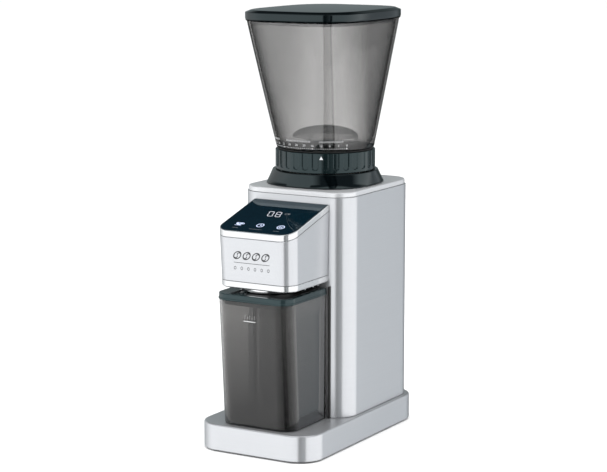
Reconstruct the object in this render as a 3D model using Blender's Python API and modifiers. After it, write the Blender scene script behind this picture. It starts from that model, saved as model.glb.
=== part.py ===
"""Burr coffee grinder: a conical-burr grinder in a steel tower, with a bean hopper
on top and a grounds container that pulls out at the front.

Metres, +Z up.  The origin is on the floor, under the middle of the outline.
The front (control panel, container) faces -Y.  Run with
blender --background --python part.py
"""
import math

import bmesh
import bpy
from mathutils import Matrix, Vector

mm = 0.001

# ---------------------------------------------------------------- driving sizes
DEPTH = 206.9 * mm            # front of the container's lid to the base's rear
HEIGHT = 390.0 * mm
FIT = 0.3 * mm                # clearance left between neighbouring pieces
RUNNING = 0.4 * mm            # clearance round anything that turns

# base
BASE_WIDTH = 119.5 * mm
BASE_CORNER = 23.4 * mm
BASE_TOP = 25.0 * mm
BASE_WALL = 1.6 * mm
BASE_EDGE = 2.0 * mm
LID_PROUD = 1.3 * mm          # the container's lid stands this far past the base
FOOT_HEIGHT = 1.5 * mm
FOOT_RADIUS = 8.0 * mm
FOOT_STEM = 2.5 * mm
FOOT_INSET = 22.0 * mm        # from the base's sides to a foot's centre
COVER_THICK = 2.5 * mm
SCREW_RADIUS = 1.5 * mm
SCREW_HEAD = 3.0 * mm
SCREW_INSET_X = 14.0 * mm
SCREW_INSET_Y = 46.0 * mm
BOSS_WALL = 2.5 * mm

# tower
TOWER_STEP = 3.95 * mm        # the base's ledge beside the tower
TOWER_SETBACK = 4.75 * mm     # the base's ledge behind it
TOWER_DEPTH = 129.7 * mm
TOWER_CORNER = 21.0 * mm
TOWER_WALL = 1.5 * mm
TOWER_TOP = 225.8 * mm        # the seam under the top plate
PLATE_HEIGHT = 4.7 * mm
PLATE_INSET = 1.0 * mm
PLATE_EDGE = 1.5 * mm

# grinding chamber, on the axis of the spindle
AXIS_BACK = 60.7 * mm         # from the tower's front to the axis
CHAMBER_BORE = 34.6 * mm
CHAMBER_WALL = 3.4 * mm
CHAMBER_DEPTH = 52.0 * mm
CHAMBER_DROP = 3.6 * mm       # the chamber's rim below the grind ring
OUTLET_SILL = 2.0 * mm
OUTLET_HEIGHT = 13.0 * mm

# collar and grind ring
COLLAR_HEIGHT = 12.7 * mm
COLLAR_GROWTH_X = 4.6 * mm    # the collar's foot beyond the ring
COLLAR_GROWTH_Y = 4.6 * mm
COLLAR_GROWTH_TOP = 2.8 * mm
COLLAR_SQUARENESS = 2.6
COLLAR_LIP = 3.0 * mm
RING_WALL = 7.4 * mm
RING_HEIGHT = 18.4 * mm
RING_FLANGE = 3.0 * mm        # the inner flange that drives the burr carrier
FLUTES = 30
FLUTE_DEPTH = 0.9 * mm
TAB_HALF_WIDTH = 4.0 * mm

# burrs and spindle
CARRIER_WALL = 3.6 * mm       # chamber's bore to the carrier's mouth
BURR_SETBACK = 5.6 * mm       # chamber's bore to the ring burr's outside
BURR_WALL = 6.0 * mm          # ring burr, at the foot of the cone
CONE_TOP = 9.0 * mm
CONE_HEIGHT = 32.0 * mm
CONE_RISE = 12.0 * mm         # chamber's floor to the cone
CONE_TEETH = 14
SHAFT_RADIUS = 4.0 * mm
BEARING_RADIUS = 9.0 * mm

# gear train: two equal stages folded back on to the grinding axis
GEAR_MODULE = 1.5 * mm
PINION_TEETH = 10
WHEEL_TEETH = 30
GEAR_WIDTH = 12.0 * mm
PRESSURE_ANGLE = math.radians(20)
BACKLASH = 0.5 * mm
CHAMBER_LEG = 18.5 * mm       # gearbox's top plate to the chamber's floor
GEARBOX_PLATE = 3.5 * mm
GEARBOX_HEIGHT = 31.5 * mm    # clear height between the two gearbox plates
AXLE_RADIUS = 3.0 * mm

# motor
MOTOR_RADIUS = 27.0 * mm
MOTOR_LENGTH = 66.0 * mm
MOTOR_WALL = 2.5 * mm
MOTOR_SHAFT = 2.5 * mm
MOTOR_AIR_GAP = 3.0 * mm
END_CAP_LENGTH = 9.0 * mm
FRAME_WALL = 4.0 * mm
FRAME_GAP = 6.0 * mm          # tower's wall to the inner frame
PAD_THICK = 3.0 * mm

# hopper
HOPPER_STEP = 1.1 * mm        # the hopper's foot is this much inside the ring
HOPPER_GAP = 1.6 * mm         # seal between ring and hopper
HOPPER_WALL = 2.0 * mm
HOPPER_SQUARENESS = 3.7
HOPPER_SHIFT = -3.0 * mm      # the top sits this far in front of the grinding axis
NECK_GAP = 0.8 * mm
NECK_WALL = 6.6 * mm
NECK_LENGTH = 15.0 * mm
LID_HALF_X = 56.8 * mm
LID_HALF_Y = 71.8 * mm
LID_HEIGHT = 9.4 * mm
LID_OVERHANG = 1.3 * mm
LID_WALL = 2.0 * mm
LID_PLUG = 3.6 * mm           # depth of the plug below the lid's skirt
LID_SEAL_HEIGHT = 1.8 * mm
PLUG_GAP = 2.6 * mm           # filled by the lid's seal
GUARD_GAP = 0.7 * mm
GUARD_RISE = 10.0 * mm
GUARD_LIFT = 9.1 * mm         # the guard's rim above the hopper's foot

# head
HEAD_HALF_TOP = 38.8 * mm
HEAD_HALF_BOTTOM = 38.0 * mm
HEAD_SETBACK_TOP = 4.15 * mm  # behind the front of the container's lid
HEAD_SETBACK_BOTTOM = 5.95 * mm
HEAD_CORNER = 13.0 * mm
HEAD_WALL = 1.5 * mm
HEAD_CLEARANCE = 4.7 * mm     # above the container's lid
LOWER_TRIM = 6.3 * mm
HEAD_RISE = 7.4 * mm          # chamber's floor to the upper seam, at the front
UPPER_TRIM = 5.9 * mm
GLASS_RISE = 18.9 * mm        # the panel climbs this much from front to tower
GLASS_THICK = 2.0 * mm
GLASS_INSET = 0.8 * mm
TRIM_WIDTH = 5.0 * mm
BOARD_THICK = 1.6 * mm
BOARD_DROP = 7.0 * mm         # board's top below the glass's underside
TOUCH_SPACING = 20.9 * mm
TOUCH_SETBACK = 15.3 * mm     # head's front to the row of touch keys
TOUCH_RADIUS = 5.0 * mm
DISPLAY_SETBACK = 24.0 * mm   # touch keys to the display's middle
DISPLAY_HALF_X = 12.0 * mm
DISPLAY_HALF_Y = 9.0 * mm

# chute
CHUTE_HALF = 13.0 * mm
CHUTE_WALL = 1.5 * mm
CHUTE_AIR = 10.0 * mm         # round the chute in the tower's window
SPOUT_REACH = 32.0 * mm       # tower's front to the spout's middle
SPOUT_HALF_X = 11.0 * mm
SPOUT_HALF_Y = 8.0 * mm
SPOUT_CLEARANCE = 2.2 * mm    # above the container's lid
OUTLET_RIM_RADIUS = 23.0 * mm
OUTLET_RIM_WALL = 2.2 * mm
OUTLET_RIM_CLEARANCE = 1.2 * mm   # above the container's lid
OUTLET_RIM_FORWARD = 6.5 * mm     # its middle, in front of the spout's

# grounds container
CONTAINER_HALF_TOP = 38.0 * mm
CONTAINER_HALF_BOTTOM = 37.6 * mm
CONTAINER_SETBACK_TOP = 0.55 * mm
CONTAINER_SETBACK_BOTTOM = 7.65 * mm
CONTAINER_GAP = 1.2 * mm      # container to tower
CONTAINER_CORNER = 14.0 * mm
CONTAINER_REAR_CORNER = 4.0 * mm
CONTAINER_WALL = 2.2 * mm
CONTAINER_TOP = 139.3 * mm
CONTAINER_LID_HEIGHT = 5.9 * mm
CONTAINER_LID_HALF = 38.6 * mm
CONTAINER_LID_PLATE = 2.0 * mm
LID_HOLE_HALF_X = 16.0 * mm
LID_HOLE_HALF_Y = 13.0 * mm

# cable gland
GLAND_Z = 46.0 * mm
GLAND_RADIUS = 8.0 * mm
GLAND_BORE = 3.8 * mm

ROUND = 28                    # sides of a large round piece
SMALL_ROUND = 14              # sides of a small one
CORNER_STEPS = 4              # facets on a rounded corner
SECTION_POINTS = 40           # points round the hopper

# ---------------------------------------------------------------- worked out
BASE_REAR = DEPTH / 2
LID_FRONT = -DEPTH / 2
BASE_FRONT = LID_FRONT + LID_PROUD
TOWER_WIDTH = BASE_WIDTH - 2 * TOWER_STEP
TOWER_REAR = BASE_REAR - TOWER_SETBACK
TOWER_FRONT = TOWER_REAR - TOWER_DEPTH
PLATE_TOP = TOWER_TOP + PLATE_HEIGHT
AXIS_Y = TOWER_FRONT + AXIS_BACK
SPINDLE = (0, AXIS_Y, 0)

RING_BOTTOM = PLATE_TOP + COLLAR_HEIGHT + RUNNING
RING_TOP = RING_BOTTOM + RING_HEIGHT
RING_BORE = CHAMBER_BORE + CHAMBER_WALL + RUNNING
RING_RADIUS = RING_BORE + RING_WALL
COLLAR_TOP = PLATE_TOP + COLLAR_HEIGHT
COLLAR_HALF_X = RING_RADIUS + COLLAR_GROWTH_X
COLLAR_HALF_Y = RING_RADIUS + COLLAR_GROWTH_Y
COLLAR_TOP_RADIUS = RING_RADIUS + COLLAR_GROWTH_TOP

CHAMBER_TOP = RING_BOTTOM - CHAMBER_DROP
CHAMBER_FLOOR = CHAMBER_TOP - CHAMBER_DEPTH
OUTLET_LOW = CHAMBER_FLOOR + OUTLET_SILL
CARRIER_BORE = CHAMBER_BORE - CARRIER_WALL
CARRIER_OUTER = CHAMBER_BORE - 2 * RUNNING
BURR_OUTER = CHAMBER_BORE - BURR_SETBACK
CONE_FOOT = BURR_OUTER - BURR_WALL
CONE_BOTTOM_Z = CHAMBER_FLOOR + CONE_RISE
CONE_TOP_Z = CONE_BOTTOM_Z + CONE_HEIGHT
SHAFT_TOP = CONE_TOP_Z + 6 * mm

PITCH_PINION = GEAR_MODULE * PINION_TEETH / 2
PITCH_WHEEL = GEAR_MODULE * WHEEL_TEETH / 2
LAYSHAFT = (0, AXIS_Y + PITCH_PINION + PITCH_WHEEL, 0)
GEARBOX_TOP = CHAMBER_FLOOR - CHAMBER_LEG
GEARBOX_CEILING = GEARBOX_TOP - GEARBOX_PLATE
GEARBOX_FLOOR = GEARBOX_CEILING - GEARBOX_HEIGHT
GEARBOX_BOTTOM = GEARBOX_FLOOR - GEARBOX_PLATE
LOWER_MESH = GEARBOX_FLOOR + 2.5 * mm
UPPER_MESH = LOWER_MESH + GEAR_WIDTH + 2 * mm
MOTOR_TOP = GEARBOX_BOTTOM - FIT
MOTOR_BOTTOM = MOTOR_TOP - MOTOR_LENGTH

HOPPER_FOOT = RING_TOP + HOPPER_GAP
HOPPER_RADIUS = RING_RADIUS - HOPPER_STEP
NECK_RADIUS = RING_BORE - NECK_GAP
NECK_BORE = NECK_RADIUS - NECK_WALL
GUARD_RADIUS = NECK_BORE - GUARD_GAP
GUARD_Z = HOPPER_FOOT + GUARD_LIFT
LID_BOTTOM = HEIGHT - LID_HEIGHT
HOPPER_TOP = LID_BOTTOM - FIT
PLUG_BOTTOM = LID_BOTTOM - LID_PLUG

CONTAINER_REAR = TOWER_FRONT - CONTAINER_GAP
CONTAINER_FRONT_TOP = LID_FRONT + CONTAINER_SETBACK_TOP
CONTAINER_FRONT_BOTTOM = LID_FRONT + CONTAINER_SETBACK_BOTTOM
CONTAINER_LID_TOP = CONTAINER_TOP + CONTAINER_LID_HEIGHT

HEAD_REAR = TOWER_FRONT - FIT
HEAD_FRONT_TOP = LID_FRONT + HEAD_SETBACK_TOP
HEAD_FRONT_BOTTOM = LID_FRONT + HEAD_SETBACK_BOTTOM
HEAD_BOTTOM = CONTAINER_LID_TOP + HEAD_CLEARANCE
HEAD_LOWER_SEAM = HEAD_BOTTOM + LOWER_TRIM
HEAD_UPPER_SEAM = CHAMBER_FLOOR + HEAD_RISE
GLASS_FRONT = HEAD_UPPER_SEAM + UPPER_TRIM
TOUCH_Y = HEAD_FRONT_TOP + TOUCH_SETBACK
DISPLAY_Y = TOUCH_Y + DISPLAY_SETBACK
SPOUT_Y = TOWER_FRONT - SPOUT_REACH
SPOUT_BOTTOM = CONTAINER_LID_TOP + SPOUT_CLEARANCE

parts = bpy.data.collections.new("coffee_grinder")
tools = bpy.data.collections.new("cutters")


# ---------------------------------------------------------------- finishes
def finish(name, colour, roughness, metallic=0.0, alpha=1.0):
    surface = bpy.data.materials.new(name)
    surface.use_nodes = True
    shader = surface.node_tree.nodes["Principled BSDF"]
    shader.inputs["Base Color"].default_value = (*colour, 1.0)
    shader.inputs["Roughness"].default_value = roughness
    shader.inputs["Metallic"].default_value = metallic
    shader.inputs["Alpha"].default_value = alpha
    return surface


def make_finishes():
    return {
        "steel": finish("brushed_steel", (0.62, 0.63, 0.65), 0.32, 1.0),
        "polished": finish("polished_steel", (0.74, 0.75, 0.77), 0.16, 1.0),
        "burr": finish("hardened_steel", (0.42, 0.43, 0.45), 0.3, 1.0),
        "zinc": finish("zinc_plate", (0.55, 0.56, 0.58), 0.4, 1.0),
        "brass": finish("brass", (0.75, 0.58, 0.3), 0.3, 1.0),
        "smoke": finish("smoke_plastic", (0.16, 0.16, 0.17), 0.08, 0.0, 0.5),
        "black_gloss": finish("gloss_black_plastic", (0.03, 0.035, 0.04), 0.12),
        "black": finish("black_plastic", (0.05, 0.055, 0.06), 0.4),
        "glass": finish("black_glass", (0.005, 0.008, 0.012), 0.04),
        "rubber": finish("rubber", (0.03, 0.03, 0.03), 0.8),
        "silicone": finish("silicone", (0.35, 0.36, 0.37), 0.6),
        "nylon": finish("white_nylon", (0.82, 0.81, 0.77), 0.45),
        "board": finish("circuit_board", (0.04, 0.2, 0.09), 0.4),
        "display": finish("display", (0.1, 0.1, 0.11), 0.3),
        "bronze": finish("sintered_bronze", (0.48, 0.33, 0.18), 0.45, 1.0),
    }


# ---------------------------------------------------------------- outlines
def arc(centre_x, centre_y, radius, start, end, steps):
    turn = (end - start) / steps
    return [(centre_x + radius * math.cos(math.radians(start + turn * i)),
             centre_y + radius * math.sin(math.radians(start + turn * i)))
            for i in range(steps + 1)]


def rounded(half, front, rear, front_radius, rear_radius=None):
    """A rectangle with rounded corners, anticlockwise from the front right."""
    rear_radius = front_radius if rear_radius is None else rear_radius
    f, r = front_radius, rear_radius
    return (arc(half - f, front + f, f, -90, 0, CORNER_STEPS)
            + arc(half - r, rear - r, r, 0, 90, CORNER_STEPS)
            + arc(r - half, rear - r, r, 90, 180, CORNER_STEPS)
            + arc(f - half, front + f, f, 180, 270, CORNER_STEPS))


def horseshoe(half, front, rear, radius, wall):
    """A wall round the front and two sides, open at the rear."""
    outer = ([(half, rear)]
             + arc(half - radius, front + radius, radius, 0, -90, CORNER_STEPS)
             + arc(radius - half, front + radius, radius, -90, -180, CORNER_STEPS)
             + [(-half, rear)])
    side = half - wall
    bend = radius - wall
    inner = ([(-side, rear)]
             + arc(bend - side, front + radius, bend, -180, -90, CORNER_STEPS)
             + arc(side - bend, front + radius, bend, -90, 0, CORNER_STEPS)
             + [(side, rear)])
    return outer + inner


def squircle(half_x, half_y, squareness, centre_y, points=SECTION_POINTS):
    """A superellipse: squareness 2 is an ellipse, larger is squarer."""
    outline = []
    for i in range(points):
        angle = 2 * math.pi * i / points
        c, s = math.cos(angle), math.sin(angle)
        reach = (abs(c) ** squareness + abs(s) ** squareness) ** (-1 / squareness)
        outline.append((half_x * reach * c, centre_y + half_y * reach * s))
    return outline


def circle(radius, points, centre=(0, 0)):
    return [(centre[0] + radius * math.cos(2 * math.pi * i / points),
             centre[1] + radius * math.sin(2 * math.pi * i / points))
            for i in range(points)]


def rectangle(half_x, half_y, centre_x=0, centre_y=0):
    return [(centre_x - half_x, centre_y - half_y), (centre_x + half_x, centre_y - half_y),
            (centre_x + half_x, centre_y + half_y), (centre_x - half_x, centre_y + half_y)]


def level(outline, z):
    return [(x, y, z) for x, y in outline]


def sloped(outline, z_front):
    """Lift an outline on to a plane parallel to the control panel."""
    return [(x, y, z_front + panel_rise(y)) for x, y in outline]


def panel_rise(y):
    return GLASS_RISE * (y - HEAD_FRONT_TOP) / (HEAD_REAR - HEAD_FRONT_TOP)


def gear_outline(teeth, turn):
    """Involute teeth thinned by the backlash, with the first tooth on +Y."""
    pitch = GEAR_MODULE * teeth / 2
    base = pitch * math.cos(PRESSURE_ANGLE)
    root = pitch - 1.2 * GEAR_MODULE
    tip = pitch + 0.9 * GEAR_MODULE

    def involute(radius):
        if radius <= base:
            return 0.0
        pressure = math.acos(base / radius)
        return math.tan(pressure) - pressure

    half_pitch = math.pi / (2 * teeth) - BACKLASH / (2 * pitch)

    def half_angle(radius):
        return half_pitch + involute(pitch) - involute(radius)

    outline = []
    for tooth in range(teeth):
        middle = math.pi / 2 + 2 * math.pi * tooth / teeth + turn
        for radius, side in ((root, -1), (pitch, -1), (tip, -1), (tip, 1), (pitch, 1), (root, 1)):
            angle = middle + side * half_angle(radius)
            outline.append((radius * math.cos(angle), radius * math.sin(angle)))
    return outline


# ---------------------------------------------------------------- shapes
def add(obj, colour, place=(0, 0, 0), parent=None):
    obj.data.materials.append(colours[colour])
    obj.location = place
    if parent:
        obj.parent = parent
    parts.objects.link(obj)
    return obj


def mesh_object(name, bm):
    bmesh.ops.recalc_face_normals(bm, faces=bm.faces)
    mesh = bpy.data.meshes.new(name)
    bm.to_mesh(mesh)
    bm.free()
    mesh.shade_smooth()
    mesh.set_sharp_from_angle(angle=math.radians(35))
    return bpy.data.objects.new(name, mesh)


def loft(name, rings, joined=False):
    """Skin a row of matching outlines; the ends are capped, or joined up."""
    bm = bmesh.new()
    rows = [[bm.verts.new(point) for point in ring] for ring in rings]
    pairs = list(zip(rows, rows[1:]))
    if joined:
        pairs.append((rows[-1], rows[0]))
    for lower, upper in pairs:
        for i in range(len(lower)):
            j = (i + 1) % len(lower)
            bm.faces.new((lower[i], lower[j], upper[j], upper[i]))
    if not joined:
        bm.faces.new(rows[0])
        bm.faces.new(rows[-1])
    return mesh_object(name, bm)


def turned(name, profile, sides, closed=True):
    """Turn a profile of (radius, height) points round Z with a Screw modifier."""
    area = sum(a[0] * b[1] - b[0] * a[1] for a, b in zip(profile, profile[1:] + profile[:1]))
    outline = profile if area < 0 else profile[::-1]
    mesh = bpy.data.meshes.new(name)
    edges = [(i, i + 1) for i in range(len(outline) - 1)]
    if closed:
        edges.append((len(outline) - 1, 0))
    mesh.from_pydata([(r, 0, z) for r, z in outline], edges, [])
    obj = bpy.data.objects.new(name, mesh)
    screw = obj.modifiers.new("turn", "SCREW")
    screw.steps = sides
    screw.render_steps = sides
    screw.use_merge_vertices = True
    screw.merge_threshold = 0.00001
    screw.use_smooth_shade = False
    return obj


def tube(name, outer, inner, bottom, top, sides=ROUND):
    return turned(name, [(inner, top), (outer, top), (outer, bottom), (inner, bottom)], sides)


def flat(name, outlines, bottom, top):
    """An outline with any holes in it, filled and given its thickness."""
    curve = bpy.data.curves.new(name, "CURVE")
    curve.dimensions = "2D"
    curve.fill_mode = "BOTH"
    curve.extrude = (top - bottom) / 2
    for outline in outlines:
        spline = curve.splines.new("POLY")
        spline.points.add(len(outline) - 1)
        for point, (x, y) in zip(spline.points, outline):
            point.co = (x, y, 0, 1)
        spline.use_cyclic_u = True
    drawn = bpy.data.objects.new(name + "_outline", curve)
    bpy.context.scene.collection.objects.link(drawn)
    bpy.context.view_layer.update()
    solid = drawn.evaluated_get(bpy.context.evaluated_depsgraph_get())
    mesh = bpy.data.meshes.new_from_object(solid)
    bpy.data.objects.remove(drawn)
    bm = bmesh.new()
    bm.from_mesh(mesh)
    bmesh.ops.remove_doubles(bm, verts=bm.verts, dist=0.000001)
    bmesh.ops.translate(bm, verts=bm.verts, vec=(0, 0, (top + bottom) / 2))
    bmesh.ops.recalc_face_normals(bm, faces=bm.faces)
    bm.to_mesh(mesh)
    bm.free()
    return bpy.data.objects.new(name, mesh)


def block(name, low, high):
    bm = bmesh.new()
    bmesh.ops.create_cube(bm, size=1)
    size = Vector(high) - Vector(low)
    middle = (Vector(high) + Vector(low)) / 2
    bmesh.ops.scale(bm, verts=bm.verts, vec=size)
    bmesh.ops.translate(bm, verts=bm.verts, vec=middle)
    return mesh_object(name, bm)


def rod(name, radius, start, end, sides=SMALL_ROUND):
    """A plain cylinder between two points."""
    line = Vector(end) - Vector(start)
    bm = bmesh.new()
    bmesh.ops.create_cone(bm, cap_ends=True, segments=sides, radius1=radius,
                          radius2=radius, depth=line.length)
    turn = line.to_track_quat("Z", "Y").to_matrix().to_4x4()
    bmesh.ops.transform(bm, verts=bm.verts, matrix=turn)
    bmesh.ops.translate(bm, verts=bm.verts, vec=(Vector(start) + Vector(end)) / 2)
    return mesh_object(name, bm)


def combine(obj, other, operation):
    """Cut another shape, given in the piece's own coordinates, or weld it on."""
    other.parent = obj
    other.name = obj.name + "_" + operation.lower() + str(len(obj.modifiers))
    tools.objects.link(other)
    other.hide_render = True
    other.display_type = "WIRE"
    boolean = obj.modifiers.new(operation.lower(), "BOOLEAN")
    boolean.operation = operation
    boolean.object = other
    boolean.solver = "EXACT"


def cut(obj, other):
    combine(obj, other, "DIFFERENCE")


def weld(obj, other):
    combine(obj, other, "UNION")


def pivot(name, place, parent=None):
    """An empty on a joint's axis, which carries the pieces that move there."""
    empty = bpy.data.objects.new(name, None)
    empty.empty_display_size = 0.02
    empty.location = place
    empty.parent = parent
    parts.objects.link(empty)
    return empty


# ---------------------------------------------------------------- base
def base_outline(inset=0.0):
    return rounded(BASE_WIDTH / 2 - inset, BASE_FRONT + inset, BASE_REAR - inset,
                   BASE_CORNER - inset)


def corner_places(inset_x, inset_y):
    """Four mirrored places under the base, with the name of each corner."""
    for end, y in (("front", BASE_FRONT + inset_y), ("rear", BASE_REAR - inset_y)):
        for side, x in (("left", inset_x - BASE_WIDTH / 2), ("right", BASE_WIDTH / 2 - inset_x)):
            yield end + "_" + side, x, y


def make_base():
    inside_top = BASE_TOP - BASE_WALL
    shell = loft("base_shell", [
        level(base_outline(BASE_WALL), inside_top),
        level(base_outline(BASE_WALL), FOOT_HEIGHT),
        level(base_outline(), FOOT_HEIGHT),
        level(base_outline(), BASE_TOP - BASE_EDGE),
        level(base_outline(BASE_EDGE * 0.3), BASE_TOP - BASE_EDGE * 0.3),
        level(base_outline(BASE_EDGE), BASE_TOP),
    ])
    add(shell, "steel")
    cover_bottom = FOOT_HEIGHT + 0.5 * mm
    cover_top = cover_bottom + COVER_THICK
    feet = list(corner_places(FOOT_INSET, FOOT_INSET))
    screws = list(corner_places(SCREW_INSET_X, SCREW_INSET_Y))
    boss_radius = SCREW_RADIUS + BOSS_WALL
    for _, x, y in screws:
        boss_end = inside_top + 0.5 * BASE_WALL
        weld(shell, rod("boss", boss_radius, (x, y, cover_top + FIT), (x, y, boss_end)))
    for _, x, y in screws:
        pilot_end = cover_top + 10 * mm
        cut(shell, rod("pilot", SCREW_RADIUS + FIT, (x, y, cover_bottom), (x, y, pilot_end), 12))
    holes = [circle(FOOT_STEM + FIT, 12, (x, y)) for _, x, y in feet]
    holes += [circle(SCREW_RADIUS + FIT, 12, (x, y)) for _, x, y in screws]
    outline = base_outline(BASE_WALL + FIT)
    add(flat("base_bottom_cover", [outline] + holes, cover_bottom, cover_top), "black")
    for corner, x, y in feet:
        barb = FOOT_STEM + 1.0 * mm
        foot = turned("foot_" + corner, [
            (0, cover_top + 3 * mm), (FOOT_STEM, cover_top + 3 * mm), (barb, cover_top + FIT),
            (FOOT_STEM, cover_top + FIT), (FOOT_STEM, cover_bottom - FIT),
            (FOOT_RADIUS, cover_bottom - FIT), (FOOT_RADIUS - 0.5 * mm, 0), (0, 0),
        ], SMALL_ROUND, closed=False)
        add(foot, "rubber", (x, y, 0))
    for corner, x, y in screws:
        head_top = cover_bottom - FIT
        screw = turned("cover_screw_" + corner, [
            (0, cover_top + 9 * mm), (SCREW_RADIUS, cover_top + 8 * mm),
            (SCREW_RADIUS, head_top), (SCREW_HEAD, head_top),
            (SCREW_HEAD * 0.7, head_top - 1.2 * mm), (0, head_top - 1.2 * mm),
        ], 12, closed=False)
        add(screw, "zinc", (x, y, 0))


# ---------------------------------------------------------------- tower
def tower_outline(inset=0.0):
    return rounded(TOWER_WIDTH / 2 - inset, TOWER_FRONT + inset, TOWER_REAR - inset,
                   TOWER_CORNER - inset)


def make_tower():
    bottom = BASE_TOP + FIT
    shell = loft("tower_shell", [
        level(tower_outline(), bottom), level(tower_outline(), TOWER_TOP),
        level(tower_outline(TOWER_WALL), TOWER_TOP), level(tower_outline(TOWER_WALL), bottom),
    ], joined=True)
    window_half = CHUTE_HALF + CHUTE_WALL + CHUTE_AIR
    window_low = OUTLET_LOW - OUTLET_HEIGHT - CHUTE_AIR
    window_high = OUTLET_LOW + OUTLET_HEIGHT + CHUTE_WALL
    reach = 3 * TOWER_WALL
    cut(shell, block("head_window",
                     (-window_half, TOWER_FRONT - reach, window_low),
                     (window_half, TOWER_FRONT + reach, window_high)))
    cut(shell, rod("gland_hole", GLAND_RADIUS - 2 * mm + FIT,
                   (0, TOWER_REAR - reach, GLAND_Z), (0, TOWER_REAR + reach, GLAND_Z)))
    add(shell, "steel")

    hole = CHAMBER_BORE + CHAMBER_WALL + 2 * FIT
    seam = TOWER_TOP + FIT
    plate = loft("tower_top_plate", [
        level(tower_outline(PLATE_INSET + TOWER_WALL), PLATE_TOP - TOWER_WALL),
        level(tower_outline(PLATE_INSET + TOWER_WALL), seam),
        level(tower_outline(PLATE_INSET), seam),
        level(tower_outline(PLATE_INSET), PLATE_TOP - PLATE_EDGE),
        level(tower_outline(PLATE_INSET + PLATE_EDGE * 0.3), PLATE_TOP - PLATE_EDGE * 0.3),
        level(tower_outline(PLATE_INSET + PLATE_EDGE), PLATE_TOP),
    ])
    cut(plate, rod("chamber_hole", hole, (0, AXIS_Y, seam - reach), (0, AXIS_Y, PLATE_TOP + reach),
                   ROUND))
    add(plate, "steel")


def make_gland():
    """The bush that the mains lead would pass through, at the tower's back."""
    flange = 3.0 * mm
    gland = turned("cable_gland", [
        (GLAND_BORE, -9 * mm), (GLAND_RADIUS - 2 * mm, -9 * mm), (GLAND_RADIUS - 2 * mm, FIT),
        (GLAND_RADIUS, FIT), (GLAND_RADIUS - 0.8 * mm, flange + FIT), (GLAND_BORE, flange + FIT),
    ], SMALL_ROUND)
    gland.rotation_euler = (-math.pi / 2, 0, 0)
    add(gland, "black", (0, TOWER_REAR, GLAND_Z))


# ---------------------------------------------------------------- frame and gearbox
def make_inner_frame():
    """A steel cradle on the base that carries the gearbox and hangs the motor."""
    half = TOWER_WIDTH / 2 - TOWER_WALL - FRAME_GAP
    front, rear = AXIS_Y - MOTOR_RADIUS, AXIS_Y + MOTOR_RADIUS
    foot = BASE_TOP + FIT
    top = GEARBOX_BOTTOM - PAD_THICK - 2 * FIT
    wall = FRAME_WALL
    section = [(-half, foot), (half, foot), (half, top), (half - wall, top),
               (half - wall, foot + wall), (wall - half, foot + wall), (wall - half, top),
               (-half, top)]
    frame = flat("inner_frame", [section], 0, rear - front)
    frame.rotation_euler = (math.pi / 2, 0, 0)
    add(frame, "zinc", (0, rear, 0))
    for side, name in ((-1, "left"), (1, "right")):
        middle = side * (half - wall / 2)
        pad = block("vibration_pad_" + name,
                    (middle - wall / 2, front, top + FIT),
                    (middle + wall / 2, rear, top + FIT + PAD_THICK))
        add(pad, "rubber")
    return half


def make_gearbox(half):
    lay_y = LAYSHAFT[1]
    case_radius = PITCH_WHEEL + GEAR_MODULE + 2 * mm
    case_wall = 2.5 * mm
    front, rear = AXIS_Y - case_radius - case_wall, lay_y + case_radius + case_wall
    spindle_hole = circle(BEARING_RADIUS + FIT, SMALL_ROUND, (0, AXIS_Y))
    axle_hole = circle(AXLE_RADIUS + FIT, SMALL_ROUND, (0, lay_y))
    middle = (front + rear) / 2
    plate = rectangle(half, (rear - front) / 2, 0, middle)
    add(flat("gearbox_bottom_plate", [plate, spindle_hole, axle_hole],
             GEARBOX_BOTTOM, GEARBOX_FLOOR), "zinc")
    upper = rectangle(case_radius + 4 * mm, (rear - front) / 2, 0, middle)
    add(flat("gearbox_top_plate", [upper, spindle_hole, axle_hole],
             GEARBOX_CEILING, GEARBOX_TOP), "zinc")

    def stadium(radius):
        return (arc(0, lay_y, radius, 0, 180, 12) + arc(0, AXIS_Y, radius, 180, 360, 12))

    add(flat("gearbox_case", [stadium(case_radius + case_wall), stadium(case_radius)],
             GEARBOX_FLOOR + FIT, GEARBOX_CEILING - FIT), "black")
    add(rod("intermediate_axle", AXLE_RADIUS, (0, lay_y, GEARBOX_BOTTOM),
            (0, lay_y, GEARBOX_TOP)), "burr")
    add(tube("lower_bearing", BEARING_RADIUS, SHAFT_RADIUS + RUNNING,
             GEARBOX_CEILING, GEARBOX_TOP, SMALL_ROUND), "bronze", SPINDLE)


def gear(name, teeth, bottom, bore, colour, place, parent, turn=0.0):
    outline = gear_outline(teeth, turn)
    body = flat(name, [outline, circle(bore, SMALL_ROUND)], bottom, bottom + GEAR_WIDTH)
    return add(body, colour, place, parent)


def make_gear_train(spindle, layshaft, motor):
    """Tooth meets gap on the line of centres, which runs along Y."""
    pinion_turn = math.pi + math.pi / PINION_TEETH
    gear("motor_pinion", PINION_TEETH, LOWER_MESH, MOTOR_SHAFT + FIT, "brass", (0, 0, 0), motor)
    wheel_turn = math.pi / WHEEL_TEETH
    gear("intermediate_wheel", WHEEL_TEETH, LOWER_MESH, AXLE_RADIUS + RUNNING, "nylon",
         (0, 0, 0), layshaft, wheel_turn)
    gear("intermediate_pinion", PINION_TEETH, UPPER_MESH, AXLE_RADIUS + RUNNING, "burr",
         (0, 0, 0), layshaft, pinion_turn)
    gear("output_gear", WHEEL_TEETH, UPPER_MESH, SHAFT_RADIUS + FIT, "nylon",
         (0, 0, 0), spindle)


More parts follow.
